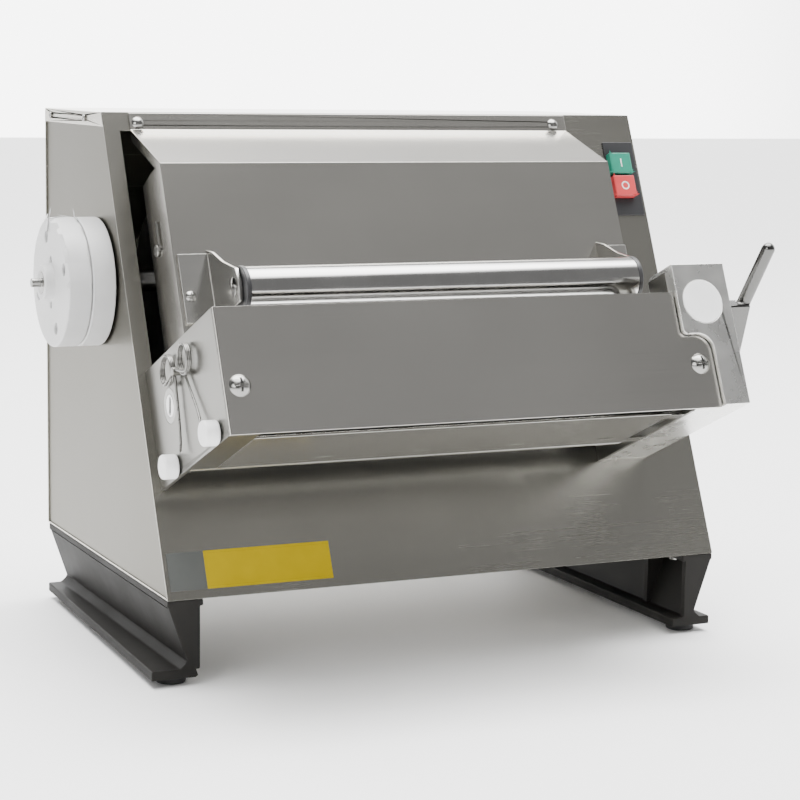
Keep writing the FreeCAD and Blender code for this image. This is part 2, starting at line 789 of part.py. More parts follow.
def bottom_flange():
    """Flange folded inwards from the lower edge of the left cheek; the discharge plate butts on it."""
    edge = barrel_left + 8
    return block((left_cheek[1] - 1, edge), (head_low, head_low + cover_sheet),
                 (discharge_depth[0], cheek_front))


def carriage_rail(x, inward):
    """Rail over a bearing carrier, on the inner side of a cheek."""
    depth = (front_roller_reach - 32, front_roller_reach + 44)
    width = sorted((x, x + inward * (carriage_thickness - 1.5)))
    return on_face(block(width, (carriage_high + slide_gap, carriage_high + 7), depth))


def spring_stud():
    """Stud on the left cheek that both scraper springs hook on."""
    return on_face(rod(3.6, (left_cheek_x - 9, left_cheek_x), (stud_v, stud_n)))


def rear_bearings():
    """Bronze bushes for the rear roller in both cheeks."""
    bushes = []
    for x in (left_cheek, right_cheek):
        bushes.append(on_face(pipe(rear_bush_radius, journal_radius + running_gap, x, rear_axis)))
    return bushes


add("left_cheek", left_cheek_plate(), carriage_rail(left_cheek[1], 1), spring_stud())
add("right_cheek", right_cheek_plate(), carriage_rail(right_cheek[0], -1))
add("gear_case", gear_case())
add("index_block", index_block())
cap_centre = (case_x[1] - 28, block_top - 35)
cap_front = head_reach + block_proud
add("block_cap", on_face(pin(cap_radius, (cap_front - 2, cap_front + 0.6), cap_centre)))
add("belt_guard", belt_guard())
add("front_cover", front_cover())
add("discharge_plate", discharge_plate())
add("rear_bearings", *rear_bearings())

# ---- rollers and their gears ----

rear_world = face_axis(*rear_axis)
front_world = face_axis(*front_axis)
reach_direction = math.degrees(math.atan2(front_world[1] - rear_world[1], front_world[0] - rear_world[0]))
gear_span = (gear_x, gear_x + gear_width)
rear_journal = (left_cheek_x, belt_x + belt_width + 1.5)
front_journal = (left_cheek[1] + touch_gap, yoke_x + 8)
journal_slot = (5.0, 15.0)      # width and length of the slot in the end of the rear journal
journal_slot_depth = 4.0


def roller(axis, journal):
    """Polished barrel on a through shaft."""
    barrel = rod(roller_radius, (barrel_left, barrel_right), axis)
    body = joined([barrel, rod(journal_radius, journal, axis)])
    return body


def pulley(x, axis, bore):
    """Flanged flat-belt pulley."""
    rim = rod(pulley_radius, x, axis)
    flanges = [rod(pulley_radius + 3, (x[0] - 1.5, x[0]), axis),
               rod(pulley_radius + 3, (x[1], x[1] + 1.5), axis)]
    return joined([rim] + flanges).cut(rod(bore, (x[0] - 5, x[1] + 5), axis))


rear_phase = reach_direction
front_phase = meshing_phase(gear_teeth, gear_teeth, rear_phase, reach_direction)
belt_span = (belt_x, belt_x + belt_width)
rear_shaft = roller(rear_world, rear_journal)
journal_end = (rear_journal[0] - 1, rear_journal[0] + journal_slot_depth)
rear_shaft = rear_shaft.cut(slot_x(*journal_slot, journal_end, rear_world))
add("rear_roller", rear_shaft)
add("rear_gear", gear(gear_teeth, gear_module, gear_span, rear_world, rear_phase, journal_radius))
add("roller_pulley", pulley(belt_span, rear_world, journal_radius))
add("front_roller", roller(front_world, front_journal))
add("front_gear", gear(gear_teeth, gear_module, gear_span, front_world, front_phase, journal_radius))

# ---- carriage that moves the front roller ----

carrier_n = (front_roller_reach - carriage_back, front_roller_reach + carriage_front)
bush_radius = 16.0
left_carrier_x = (left_cheek[1] + slide_gap, left_cheek[1] + slide_gap + carriage_thickness - 0.5)
right_carrier_x = (right_cheek[0] - slide_gap - carriage_thickness + 0.5, right_cheek[0] - slide_gap)
yoke_span = (yoke_x, yoke_x + yoke_thickness)
slot_depth = 7.0
pin_radius = 4.0
pin_play = 0.15                # pin to slot, takes up the difference from even travel


def carrier(x):
    """Bearing carrier: holds the roller bush, the tie bar and the front scraper rod."""
    body = block(x, (carriage_low, carriage_high), carrier_n)
    body = body.cut(rod(bush_radius, x, front_axis))
    body = body.cut(rod(scraper_rod_radius + running_gap, x, front_scraper_axis))
    body = body.cut(rod(tie_radius, x, tie_axis))
    return on_face(body)


def yoke_plate():
    """Plate at the end of the front roller with the slot for the lever's eccentric pin."""
    body = block(yoke_span, (roller_height - 24, roller_height + 24),
                 (front_roller_reach - 19, front_roller_reach + 19))
    body = body.cut(rod(journal_radius + running_gap, (yoke_span[0] - 1, yoke_span[0] + 8.5), front_axis))
    width = 2 * (pin_radius + pin_play)
    length = 2 * (pin_radius + pin_offset) + 4
    slot_n = (front_roller_reach - width / 2, front_roller_reach + width / 2)
    slot = block((yoke_span[1] - slot_depth, yoke_span[1] + 1),
                 (roller_height - length / 2, roller_height + length / 2), slot_n)
    return on_face(body.cut(slot))


add("carriers", carrier(left_carrier_x), carrier(right_carrier_x),
    on_face(rod(tie_radius, (left_carrier_x[0], right_carrier_x[1]), tie_axis)))
add("yoke_plate", yoke_plate())
add("front_bearings", *[on_face(pipe(bush_radius, journal_radius + running_gap, x, front_axis))
                        for x in (left_carrier_x, right_carrier_x)])

# ---- thickness lever ----

stub_radius = 12.0
stub_x = (yoke_span[1] + 1, gear_case_x + 3)
lever_x = (stub_x[1] - 1, stub_x[1] - 1 + lever_hub_width)
web_reach = 61.0               # of the lever's web, where the handle starts
handle_x = lever_x[1] - handle_radius + 3
pin_centre = (roller_height - pin_offset * math.cos(pin_rest),
              lever_reach - pin_offset * math.sin(pin_rest))


def eccentric_shaft():
    """Stub shaft through the gear case with the eccentric pin that moves the yoke."""
    stub = rod(stub_radius, stub_x, lever_axis)
    finger = rod(pin_radius, (yoke_span[1] - slot_depth + 1, stub_x[0] + 1), pin_centre)
    return on_face(joined([stub, finger]))


def lever_point(along, across):
    """(v, n) of a point on the lever, along its arm from the pivot and across it."""
    turn = math.radians(lever_angle)
    v = roller_height + along * math.cos(turn) - across * math.sin(turn)
    n = lever_reach + along * math.sin(turn) + across * math.cos(turn)
    return v, n


def thickness_lever():
    """Cast lever: hub, tapering web up to a shoulder and a round handle."""
    hub = rod(lever_hub_radius, lever_x, lever_axis)
    web = slab([lever_point(0, -lever_hub_radius + 1), lever_point(web_reach - 6, -9),
                lever_point(web_reach, 9.5), lever_point(0, lever_hub_radius)], lever_x)
    web = round_edges(web, 2.0, V(1, 0, 0))
    base = lever_point(web_reach - 12, 0)
    tip = lever_point(lever_length - handle_radius, 0)
    start = V(handle_x, base[0], base[1])
    end = V(handle_x + handle_lean, tip[0], tip[1])
    bar = Part.makeCylinder(handle_radius, (end - start).Length, start, end - start)
    ball = Part.makeSphere(handle_radius, end)
    lever = joined([hub, web, bar, ball])
    lever = lever.cut(rod(stub_radius - 2, (lever_x[0] - 1, lever_x[0] + 2), lever_axis))
    return on_face(lever.cut(rod(stub_radius, (lever_x[0] - 1, stub_x[1]), lever_axis)))


add("eccentric_shaft", eccentric_shaft())
add("thickness_lever", thickness_lever())

# ---- scrapers and their springs ----

nylon_x = (left_cheek_x - 1 - nylon_length, left_cheek_x - 1)
blade_x = (barrel_left + 1.5, barrel_right - 1.5)
spring_wire = 1.1
coil_radius = 13.5
spring_turns = 3
rear_coil = (roller_height + 25, 70.0)
front_coil = (roller_height + 22, 114.0)


def scraper(axis, roller_axis, side, rod_x):
    """Blade on a cross rod: the blade's edge lies along the roller's lower side."""
    turn = math.radians(blade_angle)
    reach = roller_radius + blade_gap + blade_sheet / 2
    tip = (roller_axis[0] - reach * math.cos(turn), roller_axis[1] + side * reach * math.sin(turn))
    along = V(0, tip[0] - axis[0], tip[1] - axis[1])
    length = along.Length
    along.normalize()
    across = V(0, -along.z, along.y)
    corners = []
    for distance, offset in ((0, -1), (length, -1), (length, 1), (0, 1)):
        point = along * distance + across * (offset * blade_sheet / 2)
        corners.append((axis[0] + point.y, axis[1] + point.z))
    blade = slab(corners, blade_x)
    return on_face(joined([rod(scraper_rod_radius, rod_x, axis), blade]))


def nylon_end(axis):
    """Nylon knob on the left end of a scraper rod."""
    knob = rod(nylon_radius, nylon_x, axis)
    rims = [edge for edge in knob.Edges if edge.Curve.TypeId == "Part::GeomCircle"]
    knob = knob.makeFillet(2.0, rims)
    return on_face(knob.cut(rod(scraper_rod_radius, (nylon_x[0] + 4, nylon_x[1] + 1), axis)))


def torsion_spring(coil, anchor, foot_end, x):
    """Closed coil with one leg to the anchor stud and one down to the scraper."""
    solids = []
    for turn in range(spring_turns):
        centre = V(x + turn * spring_wire * 1.8, coil[0], coil[1])
        solids.append(Part.makeTorus(coil_radius, spring_wire, centre, V(1, 0, 0)))
    last = x + (spring_turns - 1) * spring_wire * 1.8
    for start_x, end in ((x, anchor), (last, foot_end)):
        toward = V(0, end[0] - coil[0], end[1] - coil[1])
        reach = toward.Length
        toward.normalize()
        begin = V(start_x, coil[0], coil[1]) + toward * coil_radius
        solids.append(Part.makeCylinder(spring_wire, reach - coil_radius, begin, toward))
    return on_face(joined(solids))


rear_rod_x = (nylon_x[0] + 4, right_cheek[1])
front_rod_x = (nylon_x[0] + 4, right_carrier_x[1])
rear_leg_end = (scraper_height + 4, rear_scraper_reach + 26)
front_leg_end = (scraper_height + 14, front_scraper_reach - 24)
spring_x = left_cheek_x - 3
add("rear_scraper", scraper(rear_scraper_axis, rear_axis, 1, rear_rod_x))
add("front_scraper", scraper(front_scraper_axis, front_axis, -1, front_rod_x))
add("rear_scraper_knob", nylon_end(rear_scraper_axis))
add("front_scraper_knob", nylon_end(front_scraper_axis))
add("rear_spring", torsion_spring(rear_coil, (stud_v, stud_n - 4), rear_leg_end,
                                  spring_x - 2 * spring_wire * 1.8))
add("front_spring", torsion_spring(front_coil, (stud_v, stud_n + 4), front_leg_end,
                                   spring_x - 2 * spring_wire * 1.8))

# ---- feed chute and guard roller ----

chute_top = face_length
slope_top = face_length - chute_flange
slope_low = slope_top - chute_slope
chute_low = roller_height + roller_radius + 3
chute_step = head_high + 9
chute_side_low = head_high + chute_side_over
slope_return = 11.0            # depth of the return along the sides of the sloping band
guard_axis = (guard_height, guard_reach)
axle_radius = 5.0
ring_width = 4.0
axle_slot = 6.0                # length of the slot above the axle in each bracket
ear_base = 30.0
bracket_screw = 12.0           # bracket screw above the guard axle
bracket_offset = 8.0           # bracket screw, away from the ear


def chute_cover():
    """Folded sheet: hanging flange, sloping band, flat chute plate and two side flanges."""
    width = (chute_left, chute_right)
    flange = block((width[0], width[1]), (slope_top, chute_top - 1), (0.2, sheet + 0.2))
    slope = slab([(slope_top + 0.5, 0.2), (slope_top + 0.5, sheet + 0.2),
                  (slope_low, chute_reach), (slope_low - 0.5, chute_reach - sheet),
                  (slope_top - sheet, 0.2)], width)
    plate = block(width, (chute_step, slope_low), (chute_reach - sheet, chute_reach))
    tail = block((width[0], right_cheek_x - 2), (chute_low, chute_step + 1),
                 (chute_reach - sheet, chute_reach))
    sides = []
    for x in ((width[0], width[0] + sheet), (width[1] - sheet, width[1])):
        outline = [(slope_low, chute_reach - 0.5), (slope_low + 1, chute_gap + 27),
                   (slope_low - 2, chute_gap + 3),
                   (chute_side_low, chute_gap), (chute_side_low, chute_reach - 0.5)]
        sides.append(slab(outline, x))
        sides.append(slab([(slope_top - 1, 0.5), (slope_low, chute_reach - 0.7),
                           (slope_low - slope_return, chute_reach - 2),
                           (slope_top - slope_return, 0.5)], x))
    cover = joined([flange, slope, plate, tail] + sides)
    for x in chute_screw_x:
        cover = cover.cut(pin(chute_screw_hole, (0, 2 * sheet), (x, chute_screw_v)))
    return on_face(cover.cut(rod(chute_pin_radius, (chute_left - 1, chute_left + sheet + 1),
                                 chute_pin_axis)))


chute_pin_axis = (face_length - 142, chute_gap + 20)
chute_pin_radius = 3.5


def chute_screws():
    """Two dome screws through the hanging flange."""
    seat = sheet + 0.2
    return [on_face(dome_screw(chute_screw_radius, x, chute_screw_v, seat, 3.2,
                               cross=False)) for x in chute_screw_x]


def chute_pin():
    """Retaining pin in the left side flange with a wire clip through it."""
    return on_face(rod(chute_pin_radius, (chute_left - 3, chute_left + 8), chute_pin_axis))


def wire_clip():
    """Wire clip standing on the retaining pin."""
    v, n = chute_pin_axis
    x = chute_left - 1.5
    wire = 0.8
    turn = chute_pin_radius + 1
    ring = Part.makeTorus(turn, wire, V(x, v, n), V(1, 0, 0))
    foot_bar = Part.makeCylinder(wire, 1.2 * turn, V(x, v, n + turn), V(0, 0, 1))
    leg = Part.makeCylinder(1.1 * wire, 26, V(x, v - 3 * wire, n + 2.1 * turn), V(0, 1, 0))
    return on_face(joined([ring, foot_bar, leg]))


def guard_bracket(x, outward):
    """Angle bracket: a foot on the chute plate and an ear that holds the guard axle."""
    ear_x = sorted((x, x - outward * ear_sheet))
    foot_x = sorted((x, x - outward * ear_base))
    low = guard_height - 12
    high = guard_height + 54
    base = block(foot_x, (low, high - 4), (chute_reach, chute_reach + ear_sheet))
    edge = [(low, chute_reach), (high, chute_reach), (high - 6, chute_reach + 13),
            (high - 22, chute_reach + 34),
            (guard_height + 17, guard_reach + 8), (guard_height + 4, guard_reach + 12),
            (low, guard_reach + 8)]
    width = axle_radius + running_gap
    slot = rod(width, ear_x, guard_axis).fuse(rod(width, ear_x, (guard_height + axle_slot, guard_reach)))
    slot = slot.fuse(slab([(guard_height, guard_reach - width),
                           (guard_height + axle_slot, guard_reach - width),
                           (guard_height + axle_slot, guard_reach + width),
                           (guard_height, guard_reach + width)],
                          ear_x))
    hole = pin(2.6, (chute_reach - 1, chute_reach + ear_sheet + 1),
               ((foot_x[0] + foot_x[1]) / 2 - outward * bracket_offset, guard_height + bracket_screw))
    return on_face(joined([base, slab(edge, ear_x).cut(slot)]).cut(hole))


guard_tube_x = (guard_left + 1, guard_right - 1)


def guard_tube():
    """Thin polished tube between the end rings."""
    x = (guard_tube_x[0] + ring_width, guard_tube_x[1] - ring_width)
    return on_face(pipe(guard_radius, guard_radius - sheet, x, guard_axis))


def guard_rings():
    """End rings that run on the axle and carry the tube."""
    rings = []
    for x in ((guard_tube_x[0], guard_tube_x[0] + ring_width),
              (guard_tube_x[1] - ring_width, guard_tube_x[1])):
        rings.append(on_face(pipe(guard_radius + 0.6, axle_radius + running_gap, x, guard_axis)))
    return rings


def guard_axle():
    """Fixed axle that rests in the slots of the two brackets."""
    return on_face(rod(axle_radius, (guard_left - ear_sheet - 1, guard_right + ear_sheet + 1), guard_axis))


def guard_screws():
    """A screw in the foot of each bracket."""
    items = []
    for x, outward in ((guard_left, 1), (guard_right, -1)):
        foot_x = sorted((x, x - outward * ear_base))
        place = ((foot_x[0] + foot_x[1]) / 2 - outward * bracket_offset, guard_height + bracket_screw)
        items.append(on_face(dome_screw(5, place[0], place[1], chute_reach + ear_sheet, ear_sheet)))
    return items


add("chute_cover", chute_cover())
add("dome_screws", *cover_screws(), *chute_screws(), *guard_screws())
add("chute_pin", chute_pin(), wire_clip())
add("guard_brackets", guard_bracket(guard_left, 1), guard_bracket(guard_right, -1))
add("guard_axle", guard_axle())
add("guard_tube", guard_tube())
add("guard_rings", *guard_rings())

# ---- drive: output shaft, gear train, motor, belt and hub ----

box_x = (-212.0, -150.0)
box_margin = 12.0
train_x = (box_x[0] + box_wall + 6, box_x[0] + box_wall + 6 + train_width)
stage_x = (train_x[1] + 4, train_x[1] + 4 + train_width)
hub_inner_x = (-half_width - hub_disc, -half_width)
hub_outer_x = (hub_inner_x[0] - 2 * slide_gap - hub_disc, hub_inner_x[0] - 2 * slide_gap)
hub_end = hub_outer_x[0] - hub_boss
arbor_radius = 7.0


def box_outline(margin):
    """Corner-rounded outline of the gearbox as a union of three discs and their links."""
    output_tip = train_module * output_teeth / 2 + train_module
    middle_tip = train_module * middle_teeth / 2 + train_module
    return [(hub_axis, output_tip + margin), (middle_axis, middle_tip + margin)]


def gearbox_body(x, margin):
    """Solid outline of the gearbox between two x planes."""
    (first, first_radius), (second, second_radius) = box_outline(margin)
    motor_radius_here = train_module * pinion_teeth / 2 + 12 + margin
    discs = [rod(first_radius, x, first), rod(second_radius, x, second),
             rod(motor_radius_here, x, motor_axis)]
    return joined(discs)


def gearbox_housing():
    """Cast gearbox with bores for its three shafts."""
    outer = gearbox_body(box_x, box_margin)
    inner = gearbox_body((box_x[0] + box_wall, box_x[1] - box_wall), 4.0)
    shell = outer.cut(inner)
    shell = shell.cut(rod(shaft_radius + running_gap, (box_x[0] - 1, box_x[1] + 1), hub_axis))
    shell = shell.cut(rod(arbor_radius + running_gap, (box_x[0] + 2, box_x[1] - 2), middle_axis))
    return shell.cut(rod(arbor_radius + running_gap, (box_x[0] + 2, box_x[1] + 1), motor_axis))


def motor_housing():
    """Finned motor body with a fan cowl, bolted to the gearbox."""
    x = (box_x[1], box_x[1] + motor_length)
    core = pipe(motor_radius - 5, motor_radius - 12, x, motor_axis)
    front = pipe(motor_radius - 5, arbor_radius + 1, (x[0], x[0] + 8), motor_axis)
    back = pipe(motor_radius - 5, arbor_radius + 1, (x[1] - 8, x[1]), motor_axis)
    fins = []
    count = 24
    for index in range(count):
        fin = block((x[0] + 10, x[1] - 30), (-1.2, 1.2), (motor_radius - 7, motor_radius))
        fin.rotate(V(0, 0, 0), V(1, 0, 0), 360 * index / count)
        fin.translate(V(0, motor_axis[0], motor_axis[1]))
        fins.append(fin)
    cowl = pipe(motor_radius - 1, motor_radius - 6, (x[1] - 26, x[1] + 6), motor_axis)
    return joined([core, front, back, cowl] + fins)


def motor_rotor():
    """Rotor on its shaft, with the cooling fan disc at the back."""
    x = (box_x[0] + 6, box_x[1] + motor_length + 2)
    shaft = rod(arbor_radius, x, motor_axis)
    core = rod(motor_radius - 14, (box_x[1] + 30, box_x[1] + motor_length - 40), motor_axis)
    return joined([shaft, core])


def motor_fan():
    """Fan on the tail of the motor shaft."""
    start = box_x[1] + motor_length + 1
    hub = pipe(motor_radius - 20, arbor_radius, (start, start + 3), motor_axis)
    blades = []
    for index in range(8):
        blade = block((start, start + 4.5), (-1, 1), (arbor_radius + 2, motor_radius - 9))
        blade.rotate(V(0, 0, 0), V(1, 0, 0), 45 * index)
        blade.translate(V(0, motor_axis[0], motor_axis[1]))
        blades.append(blade)
    return joined([hub] + blades)


def cradle():
    """Sheet cradle that stands the gearbox and motor on the base plate."""
    solids = []
    for x in ((box_x[0] + 10, box_x[0] + 50), (box_x[1] + motor_length - 80, box_x[1] + motor_length - 50)):
        y = (motor_axis[0] - 45, motor_axis[0] + 45)
        top = motor_axis[1] - 20
        leg = block(x, y, (base_z + sheet, top))
        if x[0] < box_x[1]:
            leg = leg.cut(gearbox_body((box_x[0] - 1, box_x[1] + 1), box_margin + 0.1))
        else:
            leg = leg.cut(rod(motor_radius + 0.1, (x[0] - 1, x[1] + 1), motor_axis))
        solids.append(leg)
    return solids


def belt_loop():
    """Flat belt round the two pulleys, a hair clear of their rims."""
    inner = pulley_radius + slide_gap
    outer = inner + belt_thickness
    x = (belt_span[0] + slide_gap, belt_span[1] - slide_gap)
    dy = hub_axis[0] - rear_world[0]
    dz = hub_axis[1] - rear_world[1]
    span = math.hypot(dy, dz)

    def loop(radius):
        straight = Part.makeBox(x[1] - x[0], span, 2 * radius, V(x[0], 0, -radius))
        straight.rotate(V(0, 0, 0), V(1, 0, 0), math.degrees(math.atan2(dz, dy)))
        straight.translate(V(0, rear_world[0], rear_world[1]))
        return joined([straight, rod(radius, x, rear_world), rod(radius, x, hub_axis)])

    return loop(outer).cut(loop(inner))


def shaft_bracket():
    """Upright plate on the base with the bush for the right end of the output shaft."""
    x = (belt_x - 24, belt_x - 18)
    y = (hub_axis[0] - 30, hub_axis[0] + 30)
    upright = block(x, y, (base_z + sheet, hub_axis[1] + 26))
    foot_part = block((x[0] - 40, x[1]), y, (base_z + sheet, base_z + sheet + 4))
    boss = rod(20, (x[0] - 8, x[1]), hub_axis)
    plate = joined([upright, foot_part, boss])
    return plate.cut(rod(shaft_radius + running_gap, (x[0] - 10, x[1] + 2), hub_axis))


def drive_shaft():
    """Output shaft from the hub's stud on the left to the belt pulley on the right."""
    stud = rod(stud_radius, (hub_end - stud_length, hub_end + 1), hub_axis)
    body = rod(shaft_radius, (hub_end, belt_span[1] + 1.5), hub_axis)
    return joined([body, stud])


def hub_spacer():
    """Fixed nylon disc on the side panel, clear of the shaft."""
    disc = pipe(hub_radius, shaft_radius + 1, hub_inner_x, hub_axis)
    rims = [edge for edge in disc.Edges
            if edge.Curve.TypeId == "Part::GeomCircle" and edge.Curve.Radius > hub_radius - 1]
    return disc.makeFillet(1.5, rims)


def hub_disc_body():
    """Turning nylon disc with a boss, four driving holes and two pin holes."""
    disc = rod(hub_radius, hub_outer_x, hub_axis)
    rims = [edge for edge in disc.Edges if edge.Curve.TypeId == "Part::GeomCircle"]
    disc = disc.makeFillet(1.5, rims)
    boss = rod(hub_boss_radius, (hub_end, hub_outer_x[0] + 1), hub_axis)
    body = joined([disc, boss])
    body = body.cut(rod(shaft_radius, (hub_end - 1, hub_outer_x[1] + 1), hub_axis))
    through = (hub_outer_x[0] - 1, hub_outer_x[1] + 1)
    for index in range(4):
        centre = polar(hub_axis, hub_hole_circle, hub_hole_turn + 90 * index)
        body = body.cut(rod(hub_hole_radius, through, centre))
    for index in range(2):
        centre = polar(hub_axis, hub_pin_circle, 90 + 180 * index)
        body = body.cut(rod(hub_pin_hole_radius, through, centre))
    return body


output_phase = 0.0
middle_pinion_phase = meshing_phase(pinion_teeth, output_teeth, output_phase, middle_direction)
middle_phase = 0.0
motor_phase = meshing_phase(pinion_teeth, middle_teeth, middle_phase, motor_direction)
middle_pinion = gear(pinion_teeth, train_module, train_x, middle_axis, middle_pinion_phase, arbor_radius)
add("output_shaft", drive_shaft())
add("output_gear", gear(output_teeth, train_module, train_x, hub_axis, output_phase, shaft_radius))
add("drive_pulley", pulley(belt_span, hub_axis, shaft_radius))
add("hub_disc", hub_disc_body())
add("hub_spacer", hub_spacer())
middle_wheel = gear(middle_teeth, train_module, stage_x, middle_axis, middle_phase, arbor_radius)
middle_shaft = rod(arbor_radius, (box_x[0] + 2.5, box_x[1] - 2.5), middle_axis)
add("middle_gears", middle_wheel, middle_pinion.fuse(middle_shaft))
motor_pinion = gear(pinion_teeth, train_module, stage_x, motor_axis, motor_phase, arbor_radius)
add("motor_rotor", motor_pinion.fuse(motor_rotor()), motor_fan())
add("gearbox_housing", gearbox_housing())
add("motor_housing", motor_housing())
add("drive_supports", *cradle(), shaft_bracket())
add("drive_belt", belt_loop())

# ---- origin at the bottom centre of the whole machine, then one STEP file for each node ----

everything = Part.makeCompound([solid for solids in nodes.values() for solid in solids])
bounds = everything.BoundBox
to_origin = V(-bounds.Center.x, -bounds.Center.y, -bounds.ZMin)


def write_parts():
    """Write parts/NODE.step for each node."""
    os.makedirs("parts", exist_ok=True)
    for name, solids in nodes.items():
        moved = []
        for solid in solids:
            copy = solid.copy()
            copy.translate(to_origin)
            moved.append(copy)
        shape = moved[0] if len(moved) == 1 else Part.makeCompound(moved)
        shape.exportStep("parts/" + name + ".step")


write_parts()
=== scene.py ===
import json
import math

import bmesh
import bpy
from mathutils import Matrix, Vector


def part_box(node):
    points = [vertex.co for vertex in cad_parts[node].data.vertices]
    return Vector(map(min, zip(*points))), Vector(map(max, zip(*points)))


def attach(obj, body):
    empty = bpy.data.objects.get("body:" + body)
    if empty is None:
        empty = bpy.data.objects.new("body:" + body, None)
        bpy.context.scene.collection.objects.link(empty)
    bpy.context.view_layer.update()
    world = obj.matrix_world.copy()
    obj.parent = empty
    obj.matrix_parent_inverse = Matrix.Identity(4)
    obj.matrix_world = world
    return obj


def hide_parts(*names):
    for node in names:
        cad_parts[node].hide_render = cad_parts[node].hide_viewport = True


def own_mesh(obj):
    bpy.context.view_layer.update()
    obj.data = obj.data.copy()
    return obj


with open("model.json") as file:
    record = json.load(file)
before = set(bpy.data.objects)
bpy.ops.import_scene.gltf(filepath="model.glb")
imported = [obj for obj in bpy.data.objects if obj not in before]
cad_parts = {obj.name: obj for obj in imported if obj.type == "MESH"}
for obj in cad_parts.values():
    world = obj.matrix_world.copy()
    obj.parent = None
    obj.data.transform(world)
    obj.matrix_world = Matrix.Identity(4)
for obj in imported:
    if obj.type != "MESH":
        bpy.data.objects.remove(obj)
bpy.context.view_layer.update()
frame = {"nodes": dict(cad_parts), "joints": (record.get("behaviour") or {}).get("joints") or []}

# ---- camera ----
# A long lens a little above the machine and to its left, aimed slightly down. Its place is given
# from the middle of the casing's front bottom edge, where the front sheet meets the base.

front_low, front_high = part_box("front_panel")
front_edge = Vector(((front_low.x + front_high.x) / 2, front_low.y, front_low.z))
camera_offset = Vector((-0.87324, -1.75021, 0.44561))
camera_turn = math.radians(-25.0)
camera_down = math.radians(8.37)
camera_roll = math.radians(0.89)

camera = bpy.data.objects.new("camera", bpy.data.cameras.new("camera"))
bpy.context.scene.collection.objects.link(camera)
camera.data.lens = 100.84
camera.data.sensor_width = 36.0
camera.data.clip_end = 60.0
camera.matrix_world = (Matrix.Translation(front_edge + camera_offset)
                       @ Matrix.Rotation(camera_turn, 4, "Z")
                       @ Matrix.Rotation(math.pi / 2 - camera_down, 4, "X")
                       @ Matrix.Rotation(camera_roll, 4, "Z"))
bpy.context.scene.camera = camera

# ---- casing ----
# Folded and spot-welded stainless sheet, 1.5 mm thick, with a brushed finish that runs the length
# of each sheet. The edges are broken with a file, so they catch the light as thin bright lines.

SHEET = (0.36, 0.35, 0.315)
# The side panels take the same sheet as the front and top, tinted far darker: painted shade on the side
# faces.
SHADED_SIDE_SHEET = (0.115, 0.108, 0.085)
TOP_SHEET = (0.56, 0.54, 0.49)
EDGE_BREAK = 0.0004


def node_tree(name):
    """A new material with its tree and its shader."""
    made = bpy.data.materials.new(name)
    made.use_nodes = True
    return made, made.node_tree, made.node_tree.nodes["Principled BSDF"]


def pattern(tree, scale, detail=4.0, rough=0.55):
    """A noise over the piece's own coordinates, stretched by scale; returns its value socket."""
    where = tree.nodes.new("ShaderNodeTexCoord")
    placed = tree.nodes.new("ShaderNodeMapping")
    placed.inputs["Scale"].default_value = scale
    noise = tree.nodes.new("ShaderNodeTexNoise")
    noise.inputs["Scale"].default_value = 1.0
    noise.inputs["Detail"].default_value = detail
    noise.inputs["Roughness"].default_value = rough
    tree.links.new(where.outputs["Object"], placed.inputs["Vector"])
    tree.links.new(placed.outputs["Vector"], noise.inputs["Vector"])
    return noise.outputs["Fac"]


def spread(tree, value, low, high, start=0.3, stop=0.7):
    """Turn a value between start and stop into one between low and high."""
    ranged = tree.nodes.new("ShaderNodeMapRange")
    ranged.inputs["From Min"].default_value = start
    ranged.inputs["From Max"].default_value = stop
    ranged.inputs["To Min"].default_value = low
    ranged.inputs["To Max"].default_value = high
    tree.links.new(value, ranged.inputs["Value"])
    return ranged.outputs["Result"]


def blend_colours(tree, value, dark, light):
    """Colour that goes from dark to light with a value."""
    mixed = tree.nodes.new("ShaderNodeMix")
    mixed.data_type = "RGBA"
    mixed.inputs["A"].default_value = (*dark, 1)
    mixed.inputs["B"].default_value = (*light, 1)
    tree.links.new(value, mixed.inputs["Factor"])
    return mixed.outputs["Result"]


def add_values(tree, first, second):
    """Sum of two values."""
    added = tree.nodes.new("ShaderNodeMath")
    added.operation = "ADD"
    tree.links.new(first, added.inputs[0])
    tree.links.new(second, added.inputs[1])
    return added.outputs["Value"]


def relief(tree, shader, height, strength, depth):
    """Raise the surface by a height pattern."""
    bump = tree.nodes.new("ShaderNodeBump")
    bump.inputs["Strength"].default_value = strength
    bump.inputs["Distance"].default_value = depth
    tree.links.new(height, bump.inputs["Height"])
    tree.links.new(bump.outputs["Normal"], shader.inputs["Normal"])


def tint(colour, share):
    """The same colour, lighter or darker."""
    return tuple(min(1.0, part * share) for part in colour)


def brushed(name, colour, grain, roughness, streaks=0.015, depth=0.02):
    """Brushed metal: fine streaks along the grain, and faint clouds from wiping and handling."""
    made, tree, shader = node_tree(name)
    fine = pattern(tree, grain, detail=3.0, rough=0.7)
    clouds = pattern(tree, (5.0, 7.0, 6.0), detail=5.0)
    shader.inputs["Metallic"].default_value = 1.0
    tone = add_values(tree, spread(tree, clouds, 0.0, 0.6), spread(tree, fine, 0.0, 0.4))
    shade = blend_colours(tree, tone, tint(colour, 0.95), tint(colour, 1.05))
    tree.links.new(shade, shader.inputs["Base Color"])
    wiped = spread(tree, clouds, roughness, roughness + 0.03)
    gloss = add_values(tree, spread(tree, fine, 0.0, streaks), wiped)
    tree.links.new(gloss, shader.inputs["Roughness"])
    relief(tree, shader, fine, depth, 0.00004)
    return made


